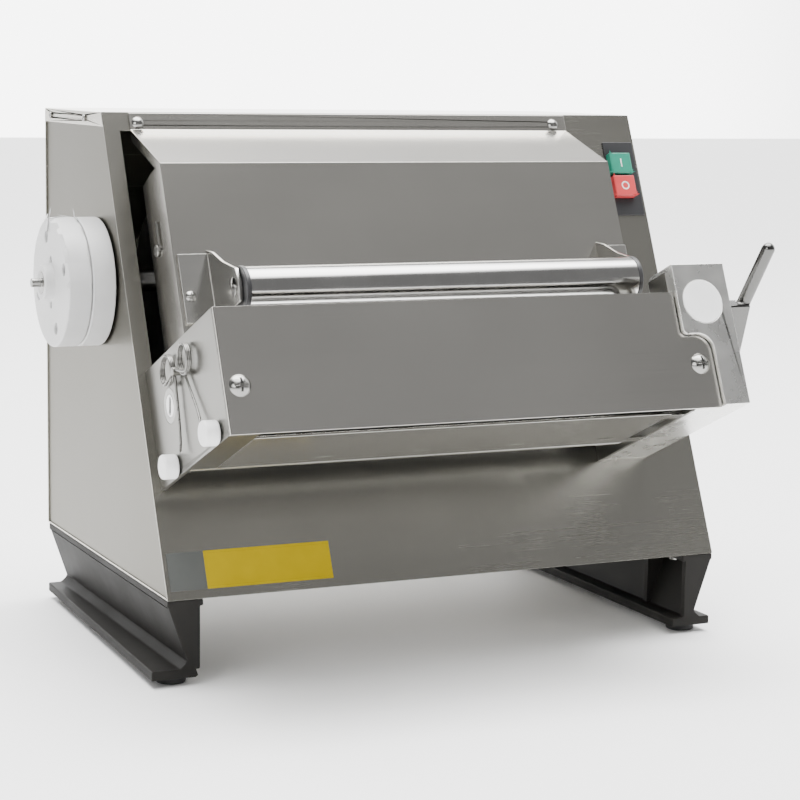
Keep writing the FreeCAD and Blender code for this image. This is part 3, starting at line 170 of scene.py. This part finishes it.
def dress(node, finish, edge=EDGE_BREAK, steps=2, flatten=False):
    """Give a CAD node its finish, smooth its curves and round its sharp edges a little.

    Flatten merges the triangles of a plain sheet, whose long thin ones would shade unevenly.
    """
    piece = frame["nodes"][node]
    piece.data.materials.clear()
    piece.data.materials.append(finish)
    if "custom_normal" in piece.data.attributes:
        piece.data.attributes.remove(piece.data.attributes["custom_normal"])
    piece.data.shade_smooth()
    joined = piece.modifiers.new("joined", "WELD")
    joined.merge_threshold = 0.000004
    if flatten:
        flat = piece.modifiers.new("flat", "DECIMATE")
        flat.decimate_type = "DISSOLVE"
        flat.angle_limit = math.radians(0.3)
    if edge:
        rounded = piece.modifiers.new("rounded", "BEVEL")
        rounded.limit_method = "ANGLE"
        rounded.angle_limit = math.radians(32)
        rounded.width = edge
        rounded.segments = steps
        rounded.use_clamp_overlap = False
    split = piece.modifiers.new("split", "EDGE_SPLIT")
    split.split_angle = math.radians(50 if edge else 32)
    even = piece.modifiers.new("even", "WEIGHTED_NORMAL")
    even.keep_sharp = True
    return piece


front_sheet = brushed("brushed_front_sheet", SHEET, (2.5, 900.0, 900.0), 0.24)
shaded_side_sheet = brushed("brushed_sheet_painted_side_shade", SHADED_SIDE_SHEET, (900.0, 3.0, 900.0), 0.33)
top_sheet = brushed("brushed_top_sheet", TOP_SHEET, (2.5, 900.0, 900.0), 0.22)
dress("front_panel", front_sheet, flatten=True)
dress("rear_cover", front_sheet)
for node in ("left_side_panel", "right_side_panel"):
    dress(node, shaded_side_sheet)
dress("top_cover", top_sheet, edge=0.0008)
dress("base_plate", top_sheet)

# ---- casing screws and cable gland ----
# Small pan-head screws, bright zinc, with worn drive sockets. The gland is moulded polyamide with
# a soft nose.

ZINC = (0.30, 0.297, 0.285)


def polished(name, colour, roughness, marks=0.06):
    """Plated or polished metal with light rubbing marks."""
    made, tree, shader = node_tree(name)
    rubs = pattern(tree, (240.0, 240.0, 240.0), detail=5.0)
    shader.inputs["Metallic"].default_value = 1.0
    tree.links.new(blend_colours(tree, spread(tree, rubs, 0.0, 1.0), tint(colour, 0.93), tint(colour, 1.05)),
                   shader.inputs["Base Color"])
    tree.links.new(spread(tree, rubs, roughness, roughness + marks), shader.inputs["Roughness"])
    relief(tree, shader, rubs, 0.08, 0.00004)
    return made


def moulded(name, colour, roughness, grain=420.0, depth=0.15):
    """Moulded plastic or rubber with a fine eroded grain and slight shade changes."""
    made, tree, shader = node_tree(name)
    fine = pattern(tree, (grain, grain, grain), detail=2.0)
    clouds = pattern(tree, (22.0, 22.0, 22.0), detail=4.0)
    shade = blend_colours(tree, spread(tree, clouds, 0.0, 1.0), tint(colour, 0.92), tint(colour, 1.06))
    tree.links.new(shade, shader.inputs["Base Color"])
    tree.links.new(spread(tree, clouds, roughness - 0.04, roughness + 0.06), shader.inputs["Roughness"])
    relief(tree, shader, fine, depth, 0.00006)
    return made


zinc = polished("zinc_plated_screws", ZINC, 0.20)
black_plastic = moulded("black_polyamide", (0.018, 0.018, 0.02), 0.42)
dress("casing_screws", zinc, edge=0.0003)
dress("cable_gland", black_plastic, edge=0.0004)

# ---- rear louvres ----
# Each cooling slot in the rear sheet has a shallow pressed hood over it that turns rain and flour
# away. They are drawn from the same sheet, so they have its finish.

rear_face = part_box("rear_cover")[1].y
HOOD_RISE = 0.0035
HOOD_HEIGHT = 0.011
HOOD_WIDTH = 0.166
LOUVRE_PITCH = 0.019
LOUVRE_ROWS = 9
BANK_OFFSET = 0.120
HOOD_TAPER = 0.004
LIP_SHARE = 0.55
motor_low, motor_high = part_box("motor_housing")
motor_z = (motor_low.z + motor_high.z) / 2
louvre_start = motor_z - LOUVRE_PITCH * LOUVRE_ROWS / 2


def new_piece(name, bm, finish, body, smooth_angle=35):
    """Turn a bmesh into a shaded piece that rides on a body."""
    mesh = bpy.data.meshes.new(name)
    bmesh.ops.recalc_face_normals(bm, faces=bm.faces)
    bm.to_mesh(mesh)
    bm.free()
    mesh.materials.append(finish)
    mesh.shade_smooth()
    mesh.set_sharp_from_angle(angle=math.radians(smooth_angle))
    piece = bpy.data.objects.new(name, mesh)
    bpy.context.scene.collection.objects.link(piece)
    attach(piece, body)
    return piece


def louvre_hood(bm, centre_x, low_z):
    """Pressed hood: its lower lip stands out, and its top and ends slope back into the sheet."""
    size = Matrix.Diagonal((HOOD_WIDTH, HOOD_RISE, HOOD_HEIGHT, 1))
    place = Matrix.Translation((centre_x, rear_face + HOOD_RISE / 2, low_z + HOOD_HEIGHT / 2))
    made = bmesh.ops.create_cube(bm, size=1.0, matrix=place @ size)["verts"]
    outer = [v for v in made if v.co.y > rear_face + HOOD_RISE / 2]
    for v in outer:
        v.co.x += math.copysign(HOOD_TAPER, centre_x - v.co.x)
        if v.co.z > low_z + HOOD_HEIGHT / 2:
            v.co.z -= HOOD_HEIGHT * LIP_SHARE
    edges = {e for v in outer for e in v.link_edges}
    bmesh.ops.bevel(bm, geom=list(edges), offset=0.0012, segments=3, profile=0.5, affect="EDGES",
                    material=-1)


hoods = bmesh.new()
for bank in (-1, 1):
    for row in range(LOUVRE_ROWS):
        louvre_hood(hoods, front_edge.x + bank * BANK_OFFSET, louvre_start + row * LOUVRE_PITCH)
new_piece("louvre_hoods", hoods, front_sheet, "casing")

# ---- feet ----
# Cast iron feet with a dark satin enamel that follows the slight orange-peel of the casting. The
# pads under them are black rubber.

ENAMEL = (0.016, 0.015, 0.0135)


def enamel(name, colour, roughness):
    """Satin enamel over a casting: shallow peel, and soft patches of tone and gloss."""
    made, tree, shader = node_tree(name)
    peel = pattern(tree, (210.0, 210.0, 210.0), detail=3.0)
    patches = pattern(tree, (14.0, 14.0, 20.0), detail=6.0)
    shade = blend_colours(tree, spread(tree, patches, 0.0, 1.0), tint(colour, 0.86), tint(colour, 1.12))
    tree.links.new(shade, shader.inputs["Base Color"])
    tree.links.new(spread(tree, patches, roughness - 0.05, roughness + 0.08), shader.inputs["Roughness"])
    shader.inputs["Specular IOR Level"].default_value = 0.15
    relief(tree, shader, peel, 0.22, 0.00015)
    return made


foot_enamel = enamel("foot_enamel", ENAMEL, 0.58)
pad_rubber = moulded("pad_rubber", (0.022, 0.022, 0.022), 0.72, grain=300.0, depth=0.3)
dress("feet", foot_enamel, edge=0.0012, steps=3)
dress("foot_pads", pad_rubber, edge=0.0006)

# ---- name plate ----
# A printed vinyl label on the lower left of the face: a grey badge and a yellow field, both left
# blank, with a fine printed rule just inside the yellow field's edges.

slide = next(joint for joint in frame["joints"] if joint["name"] == "carriage_slide")
face_out = Vector(slide["axis"]).normalized()
face_up = face_out.cross(Vector((1, 0, 0)))
face_frame = Matrix.Translation(front_edge) @ Matrix((
    (1, 0, face_out.x, 0), (0, face_up.y, face_out.y, 0), (0, face_up.z, face_out.z, 0), (0, 0, 0, 1)))


def on_face(point):
    """A point of the row frame, given from the face: across, up the face, out from it."""
    return face_frame.inverted() @ point


def face_box(node):
    """Lowest and highest corner of a CAD node in the face frame."""
    corners = [on_face(v.co) for v in frame["nodes"][node].data.vertices]
    low = Vector([min(c[i] for c in corners) for i in range(3)])
    high = Vector([max(c[i] for c in corners) for i in range(3)])
    return low, high


label_yellow = moulded("printed_yellow_vinyl", (0.40, 0.29, 0.0), 0.40, grain=900.0, depth=0.05)
label_yellow.node_tree.nodes["Principled BSDF"].inputs["Specular IOR Level"].default_value = 0.12
label_grey = moulded("printed_grey_vinyl", (0.078, 0.082, 0.078), 0.36, grain=900.0, depth=0.05)
label_ink = moulded("label_ink", (0.03, 0.03, 0.03), 0.40, grain=900.0, depth=0.05)
dress("name_plate", label_yellow, edge=0.00015)
dress("badge_plate", label_grey, edge=0.00015)


def printed_rule(bm, low, high, inset, width, height):
    """A thin rectangular ring that stands a hair above a label."""
    left, right = low.x + inset, high.x - inset
    bottom, top = low.y + inset, high.y - inset
    places = ((left, bottom), (right, bottom), (right, top), (left, top))
    corners = [Vector((x, y, height)) for x, y in places]
    face = bm.faces.new([bm.verts.new(c) for c in corners])
    bmesh.ops.inset_individual(bm, faces=[face], thickness=width, use_even_offset=True)
    bmesh.ops.delete(bm, geom=[face], context="FACES_ONLY")


RULE_INSET = 0.0022
RULE_WIDTH = 0.0006
INK_THICKNESS = 0.00006
rules = bmesh.new()
low, high = face_box("name_plate")
printed_rule(rules, low, high, RULE_INSET, RULE_WIDTH, high.z + 0.00005)
bmesh.ops.transform(rules, matrix=face_frame, verts=rules.verts)
rule_piece = new_piece("label_rule", rules, label_ink, "casing")
rule_body = rule_piece.modifiers.new("ink", "SOLIDIFY")
rule_body.thickness = INK_THICKNESS

# ---- switch ----
# A standard two-button starter: black moulded body with a collar round each square button, green
# for start with a bar and red for stop with a ring, both moulded in white.

GREEN = (0.018, 0.235, 0.155)
RED = (0.58, 0.055, 0.06)
green_plastic = moulded("green_button_plastic", GREEN, 0.30, grain=500.0, depth=0.08)
red_plastic = moulded("red_button_plastic", RED, 0.30, grain=500.0, depth=0.08)
white_inlay = moulded("white_inlay", (0.82, 0.82, 0.80), 0.35)
dress("switch_housing", black_plastic, edge=0.0005)
dress("start_button", green_plastic, edge=0.0010, steps=3)
dress("stop_button", red_plastic, edge=0.0010, steps=3)
spring_wire = polished("spring_wire", (0.22, 0.217, 0.205), 0.26)

SYMBOL_SIZE = 0.0085
SYMBOL_WIDTH = 0.0013
SYMBOL_DEPTH = 0.0002


def start_bar(bm, centre):
    """Upright bar."""
    size = Matrix.Diagonal((SYMBOL_WIDTH, SYMBOL_SIZE, SYMBOL_DEPTH * 2, 1))
    made = bmesh.ops.create_cube(bm, size=1.0, matrix=Matrix.Translation(centre) @ size)["verts"]
    edges = {e for v in made for e in v.link_edges}
    bmesh.ops.bevel(bm, geom=list(edges), offset=0.00012, segments=2, profile=0.5, affect="EDGES",
                    material=-1)


def stop_ring(bm, centre):
    """Flat ring, spun about the button's middle."""
    inner = SYMBOL_SIZE / 2 - SYMBOL_WIDTH
    corners = [(inner, -1), (SYMBOL_SIZE / 2, -1), (SYMBOL_SIZE / 2, 1), (inner, 1)]
    verts = [bm.verts.new(centre + Vector((r, 0, side * SYMBOL_DEPTH))) for r, side in corners]
    edges = [bm.edges.new((verts[i], verts[(i + 1) % 4])) for i in range(4)]
    bmesh.ops.spin(bm, geom=verts + edges, cent=centre, axis=(0, 0, 1), angle=math.tau, steps=48,
                   use_merge=True)


SPRING_WIRE = 0.00035
SPRING_TURNS = 6


def coil_spring(bm, low, high):
    """Round wire swept up a helix inside a box, with its two ends closed."""
    centre = Vector(((low.x + high.x) / 2, (low.y + high.y) / 2, low.z + SPRING_WIRE))
    start = centre + Vector(((high.x - low.x) / 2 - SPRING_WIRE, 0, 0))
    upright = Matrix.Translation(start) @ Matrix.Rotation(math.pi / 2, 4, "X")
    ring = bmesh.ops.create_circle(bm, segments=10, radius=SPRING_WIRE, matrix=upright)["verts"]
    steps = SPRING_TURNS * 24
    rise = (high.z - low.z - 2 * SPRING_WIRE) / steps
    bmesh.ops.spin(bm, geom=ring + list(bm.edges), cent=centre, axis=(0, 0, 1), dvec=(0, 0, rise),
                   angle=math.tau * SPRING_TURNS, steps=steps)
    bmesh.ops.holes_fill(bm, edges=[e for e in bm.edges if e.is_boundary], sides=0)


for button in ("start", "stop"):
    low, high = face_box(button + "_spring")
    coil = bmesh.new()
    coil_spring(coil, low, high)
    bmesh.ops.transform(coil, matrix=face_frame, verts=coil.verts)
    spring = new_piece(button + "_coil", coil, spring_wire, "casing")
    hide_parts(button + "_spring")
    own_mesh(spring)

for button, draw in (("start", start_bar), ("stop", stop_ring)):
    low, high = face_box(button + "_button")
    middle = Vector(((low.x + high.x) / 2, (low.y + high.y) / 2, high.z))
    symbol = bmesh.new()
    draw(symbol, middle)
    bmesh.ops.transform(symbol, matrix=face_frame, verts=symbol.verts)
    new_piece(button + "_symbol", symbol, white_inlay, button + "_button")

# ---- roller head ----
# Cheeks, front cover and discharge plate are 2 to 4 mm stainless with the grain running across the
# machine. The gear case is a polished casting, and the index block beside it carries a nylon cap.

head_sheet = brushed("brushed_head_sheet", (0.52, 0.505, 0.475), (2.5, 900.0, 900.0), 0.20)
# The cheeks take the same stainless as the front cover, tinted far darker: painted shade on the side-facing
# plates.
shaded_cheek_sheet = brushed("brushed_cheek_painted_shade", (0.20, 0.196, 0.18), (900.0, 5.0, 900.0), 0.30)
bright_sheet = brushed("bright_folded_sheet", (0.62, 0.61, 0.58), (2.5, 900.0, 900.0), 0.16)


def cast(name, colour, roughness, grain=95.0, depth=0.12):
    """Polished or bead-blasted alloy casting with a faint uneven skin."""
    made, tree, shader = node_tree(name)
    skin = pattern(tree, (grain, grain, grain), detail=5.0)
    shader.inputs["Metallic"].default_value = 1.0
    tree.links.new(blend_colours(tree, spread(tree, skin, 0.0, 1.0), tint(colour, 0.96), tint(colour, 1.03)),
                   shader.inputs["Base Color"])
    tree.links.new(spread(tree, skin, roughness - 0.03, roughness + 0.08), shader.inputs["Roughness"])
    relief(tree, shader, skin, depth, 0.0003)
    return made


polished_casting = cast("polished_casting", (0.82, 0.815, 0.79), 0.26, grain=40.0, depth=0.03)
dress("left_cheek", shaded_cheek_sheet, edge=0.0005)
dress("right_cheek", shaded_cheek_sheet, edge=0.0005)
dress("front_cover", head_sheet, edge=0.0005, flatten=True)
dress("discharge_plate", bright_sheet, edge=0.0003)
dress("gear_case", polished_casting, edge=0.0009, steps=3)
dress("index_block", polished_casting, edge=0.0009, steps=3)
dress("belt_guard", bright_sheet, edge=0.0005)
dress("dome_screws", zinc, edge=0.0003)


def turned(name, colour, roughness, metal, centre, rings=900.0, depth=0.12):
    """A piece turned in a lathe about an axis along X: fine rings from the tool."""
    made, tree, shader = node_tree(name)
    where = tree.nodes.new("ShaderNodeTexCoord")
    placed = tree.nodes.new("ShaderNodeMapping")
    placed.vector_type = "POINT"
    placed.inputs["Location"].default_value = (0, -centre[0], -centre[1])
    rows = tree.nodes.new("ShaderNodeTexWave")
    rows.wave_type = "RINGS"
    rows.rings_direction = "X"
    rows.inputs["Scale"].default_value = rings
    rows.inputs["Distortion"].default_value = 1.5
    rows.inputs["Detail"].default_value = 2.0
    tree.links.new(where.outputs["Object"], placed.inputs["Vector"])
    tree.links.new(placed.outputs["Vector"], rows.inputs["Vector"])
    clouds = pattern(tree, (30.0, 30.0, 30.0), detail=4.0)
    shader.inputs["Metallic"].default_value = metal
    shade = blend_colours(tree, spread(tree, clouds, 0.0, 1.0), tint(colour, 0.94), tint(colour, 1.04))
    tree.links.new(shade, shader.inputs["Base Color"])
    tree.links.new(spread(tree, clouds, roughness, roughness + 0.07), shader.inputs["Roughness"])
    relief(tree, shader, rows.outputs["Fac"], depth, 0.00003)
    return made


def middle_yz(node):
    """The (y, z) middle of a node's box."""
    low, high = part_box(node)
    return (low.y + high.y) / 2, (low.z + high.z) / 2


NYLON = (0.90, 0.90, 0.895)
white_nylon = moulded("white_nylon", NYLON, 0.38, grain=260.0, depth=0.06)
dress("block_cap", white_nylon, edge=0.0004)

# ---- rollers, gears and bearings ----
# Two ground steel rollers on through shafts, with spur gears at their right ends.
# The front one hangs in steel carriers that slide between the rails on the cheeks.

rear_axis = middle_yz("rear_roller")
front_axis = middle_yz("front_roller")
roller_finish = turned("ground_roller", (0.66, 0.66, 0.65), 0.16, 1.0, rear_axis)
gear_steel = polished("oiled_gear_steel", (0.33, 0.33, 0.34), 0.28, marks=0.12)
bearing_steel = turned("bearing_steel", (0.36, 0.355, 0.34), 0.28, 1.0, rear_axis)
bronze = turned("bearing_bronze", (0.50, 0.30, 0.11), 0.30, 1.0, rear_axis)
carrier_steel = brushed("ground_carrier", (0.45, 0.45, 0.44), (500.0, 500.0, 6.0), 0.28)
dress("rear_roller", roller_finish, edge=0.0006)
dress("front_roller", roller_finish, edge=0.0006)
for node in ("rear_gear", "front_gear"):
    dress(node, gear_steel, edge=0.0002, steps=1)
dress("roller_pulley", gear_steel, edge=0.0004)
dress("rear_bearings", bearing_steel, edge=0.0003)
dress("front_bearings", bronze, edge=0.0003)
for node in ("carriers", "yoke_plate"):
    dress(node, carrier_steel, edge=0.0006)

# ---- thickness lever ----
# A hand-polished alloy casting with a round handle. It is keyed to a steel stub shaft whose
# eccentric pin moves the front roller.

lever_polish = cast("polished_lever", (0.13, 0.129, 0.125), 0.17, grain=60.0, depth=0.10)
dress("thickness_lever", lever_polish, edge=0.0016, steps=4)
dress("eccentric_shaft", gear_steel, edge=0.0003)

# ---- scrapers and their springs ----
# Two spring-steel blades on cross rods keep the rollers clean. Each rod ends in a white nylon knob
# outside the left cheek, and a torsion spring of hard wire presses it against its roller.

blade_steel = brushed("spring_steel_blade", (0.55, 0.55, 0.54), (3.0, 700.0, 700.0), 0.18)
for node in ("rear_scraper", "front_scraper"):
    dress(node, blade_steel, edge=0.0002)
for node in ("rear_scraper_knob", "front_scraper_knob"):
    dress(node, white_nylon, edge=0)

WIRE = 0.0011
COIL_RADIUS = 0.0128
LEAST_TURN = math.tau * 2.2
POINTS_A_TURN = 16


def wire_piece(name, points, radius, finish, body):
    """A bent wire: a smooth tube through points, with filled end caps."""
    line = bpy.data.curves.new(name, "CURVE")
    line.dimensions = "3D"
    line.bevel_depth = radius
    line.bevel_resolution = 4
    line.resolution_u = 4
    line.use_fill_caps = True
    run = line.splines.new("NURBS")
    run.points.add(len(points) - 1)
    for knot, point in zip(run.points, points):
        knot.co = (*point, 1)
    run.order_u = 3
    run.use_endpoint_u = True
    line.materials.append(finish)
    piece = bpy.data.objects.new(name, line)
    bpy.context.scene.collection.objects.link(piece)
    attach(piece, body)
    return piece


cheek_face = face_box("left_cheek")[0].x
roller_v = on_face(Vector((0, *rear_axis))).y
stud_face = Vector((cheek_face, roller_v + 0.018, 0.092))
front_reach = on_face(Vector((0, *front_axis))).z


def spring_points(coil, coil_radius, start_turn, stop_turn, near_x, far_x, hook, foot):
    """Points along a torsion spring in the face frame: hook, coil and leg."""
    points = []
    steps = int(abs(stop_turn - start_turn) / math.tau * POINTS_A_TURN)
    for step in range(steps + 1):
        share = step / steps
        turn = start_turn + (stop_turn - start_turn) * share
        x = near_x + (far_x - near_x) * share
        across, out = coil_radius * math.cos(turn), coil_radius * math.sin(turn)
        points.append(Vector((x, coil[0] + across, coil[1] + out)))
    first = Vector((near_x, hook[0], hook[1]))
    last = Vector((far_x, foot[0], foot[1]))
    bend = Vector((far_x - 0.003, foot[0] + 0.001, foot[1]))
    return [first] + points + [last, bend]


for name, coil, turn, foot in (
        ("rear_spring", (roller_v + 0.025, 0.070), 1, (roller_v - 0.048, 0.074)),
        ("front_spring", (roller_v + 0.022, 0.114), -1, (roller_v - 0.038, front_reach + 0.0065))):
    low, high = face_box(name)
    hook = (stud_face.y, stud_face.z - turn * 0.005)
    to_hook = math.atan2(hook[1] - coil[1], hook[0] - coil[0])
    to_foot = math.atan2(foot[1] - coil[1], foot[0] - coil[0])
    begin = to_hook + turn * math.pi / 2
    end = to_foot - turn * math.pi / 2
    while (end - begin) * turn < LEAST_TURN:
        end += turn * math.tau
    route = spring_points(coil, COIL_RADIUS, begin, end, low.x + WIRE, high.x - WIRE, hook, foot)
    route = [face_frame @ point for point in route]
    spring = wire_piece(name + "_wire", route, WIRE, spring_wire, "casing")
    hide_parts(name)

# ---- feed chute and guard roller ----
# One folded sheet hangs from the top of the face, slopes out and runs down to the rollers. Two
# angle brackets on it hold a fixed axle, on which a thin polished tube turns on nylon rings.

chute_sheet = brushed("brushed_chute_sheet", (0.53, 0.515, 0.48), (2.5, 900.0, 900.0), 0.20)
dress("chute_cover", chute_sheet, edge=0.0008, steps=3)
dress("guard_brackets", bright_sheet, edge=0.0005)
guard_axis = middle_yz("guard_tube")
tube_polish = turned("polished_tube", (0.44, 0.435, 0.425), 0.10, 1.0, guard_axis, rings=500.0, depth=0.05)
dress("guard_tube", tube_polish, edge=0.0002)
# The rings are coloured near black so that they stand in for the shadowed gap between bracket and tube: a
# painted shadow.
dress("guard_rings", moulded("ring_nylon_painted_gap_shadow", (0.03, 0.03, 0.032), 0.35), edge=0.0006)
dress("guard_axle", zinc, edge=0.0006)
dress("chute_pin", spring_wire, edge=0.0003)

# ---- attachment hub ----
# Two nylon discs: one fixed to the side sheet, one turning with the output shaft. The turned faces
# keep the rings of the lathe tool. A thin steel stud stands out of the boss.

hub_axis = middle_yz("hub_disc")
hub_nylon = turned("turned_nylon", (0.60, 0.60, 0.597), 0.36, 0.0, hub_axis, rings=260.0, depth=0.10)
dress("hub_disc", hub_nylon, edge=0.0008, steps=3)
dress("hub_spacer", hub_nylon, edge=0)
dress("output_shaft", zinc, edge=0.0005)

# ---- drive inside the casing ----
# A gear motor in a cast housing stands on a folded cradle. A flat belt runs from the right end of
# the output shaft through the face to the rear roller.

motor_paint = enamel("motor_enamel", (0.22, 0.25, 0.27), 0.40)
gearbox_cast = cast("sand_cast_alloy", (0.50, 0.50, 0.50), 0.42, grain=160.0, depth=0.35)
zinc_sheet = polished("zinc_plated_sheet", (0.52, 0.52, 0.50), 0.32, marks=0.12)
belt_rubber = moulded("belt_rubber", (0.025, 0.025, 0.025), 0.60, grain=380.0, depth=0.35)
dress("motor_housing", motor_paint, edge=0.0004)
dress("gearbox_housing", gearbox_cast, edge=0.0010)
dress("motor_rotor", gear_steel, edge=0.0003)
for node in ("output_gear", "middle_gears"):
    dress(node, gear_steel, edge=0.00015, steps=1)
dress("drive_pulley", gear_steel, edge=0.0004)
dress("drive_supports", zinc_sheet, edge=0.0005)
dress("drive_belt", belt_rubber, edge=0.0004)

# ---- floor and light ----
# One plain pale floor, and a soft sky that is bright behind and above the machine and dim in
# front of it and to its left, so that the leaning steel reads as mid grey. Two soft lamps fill in.


FLOOR = (0.94, 0.94, 0.94)


def graded(tree, value, stops):
    """Colour ramp over a value from stops of (place, grey)."""
    ramp = tree.nodes.new("ShaderNodeValToRGB")
    ramp.color_ramp.interpolation = "EASE"
    while len(ramp.color_ramp.elements) < len(stops):
        ramp.color_ramp.elements.new(0.5)
    for element, (place, grey) in zip(ramp.color_ramp.elements, stops):
        element.position = place
        element.color = (grey, grey, grey, 1)
    tree.links.new(value, ramp.inputs["Fac"])
    return ramp.outputs["Color"]


floor_paint, _, floor_shader = node_tree("studio_floor")
floor_shader.inputs["Roughness"].default_value = 0.7
floor_shader.inputs["Specular IOR Level"].default_value = 0.1
floor_shader.inputs["Base Color"].default_value = (*FLOOR, 1)
floor_sheet = bmesh.new()
bmesh.ops.create_grid(floor_sheet, x_segments=1, y_segments=1, size=14.0)
floor_mesh = bpy.data.meshes.new("floor")
floor_sheet.to_mesh(floor_mesh)
floor_sheet.free()
floor_mesh.materials.append(floor_paint)
floor = bpy.data.objects.new("floor", floor_mesh)
bpy.context.scene.collection.objects.link(floor)

world = bpy.data.worlds.new("studio")
bpy.context.scene.world = world
world.use_nodes = True
air = world.node_tree
direction = air.nodes.new("ShaderNodeTexCoord")
split = air.nodes.new("ShaderNodeSeparateXYZ")
air.links.new(direction.outputs["Generated"], split.inputs["Vector"])
back_share = spread(air, split.outputs["Y"], 0.0, 1.0, start=-1.0, stop=1.0)
side_share = spread(air, split.outputs["X"], 0.0, 1.0, start=-1.0, stop=1.0)
from_front = graded(air, back_share, ((0.0, 0.053), (0.40, 0.05), (0.56, 0.45), (0.72, 0.40), (0.80, 0.17),
                                        (0.87, 0.17), (0.93, 1.0)))
from_left = graded(air, side_share, ((0.0, 0.10), (0.30, 0.10), (0.48, 1.0), (1.0, 1.0)))
both = air.nodes.new("ShaderNodeMix")
both.data_type = "RGBA"
both.blend_type = "MULTIPLY"
both.inputs["Factor"].default_value = 1.0
air.links.new(from_front, both.inputs["A"])
air.links.new(from_left, both.inputs["B"])
up_share = spread(air, split.outputs["Z"], 0.0, 1.0, start=-1.0, stop=1.0)
from_above = graded(air, up_share, ((0.0, 0.0), (0.90, 0.0), (0.945, 1.0), (1.0, 1.0)))
sky = air.nodes.new("ShaderNodeMix")
sky.data_type = "RGBA"
sky.blend_type = "ADD"
sky.inputs["Factor"].default_value = 1.0
air.links.new(both.outputs["Result"], sky.inputs["A"])
air.links.new(from_above, sky.inputs["B"])
air.links.new(sky.outputs["Result"], air.nodes["Background"].inputs["Color"])
air.nodes["Background"].inputs["Strength"].default_value = 7.0


def soft_lamp(name, place, target, size, power, tone=(1, 1, 1)):
    """A large rectangular lamp aimed at a point."""
    lamp = bpy.data.lights.new(name, "AREA")
    lamp.shape = "RECTANGLE"
    lamp.size, lamp.size_y = size
    lamp.energy = power
    lamp.color = tone
    holder = bpy.data.objects.new(name, lamp)
    bpy.context.scene.collection.objects.link(holder)
    aim = (Vector(target) - Vector(place)).to_track_quat("-Z", "Y")
    holder.matrix_world = Matrix.Translation(place) @ aim.to_matrix().to_4x4()
    return holder


machine_middle = (0, 0, 0.25)
soft_lamp("overhead_lamp", (0.3, 0.6, 3.0), machine_middle, (3.4, 2.4), 150)
soft_lamp("left_lamp", (-2.6, -2.0, 1.5), machine_middle, (1.8, 1.4), 45)
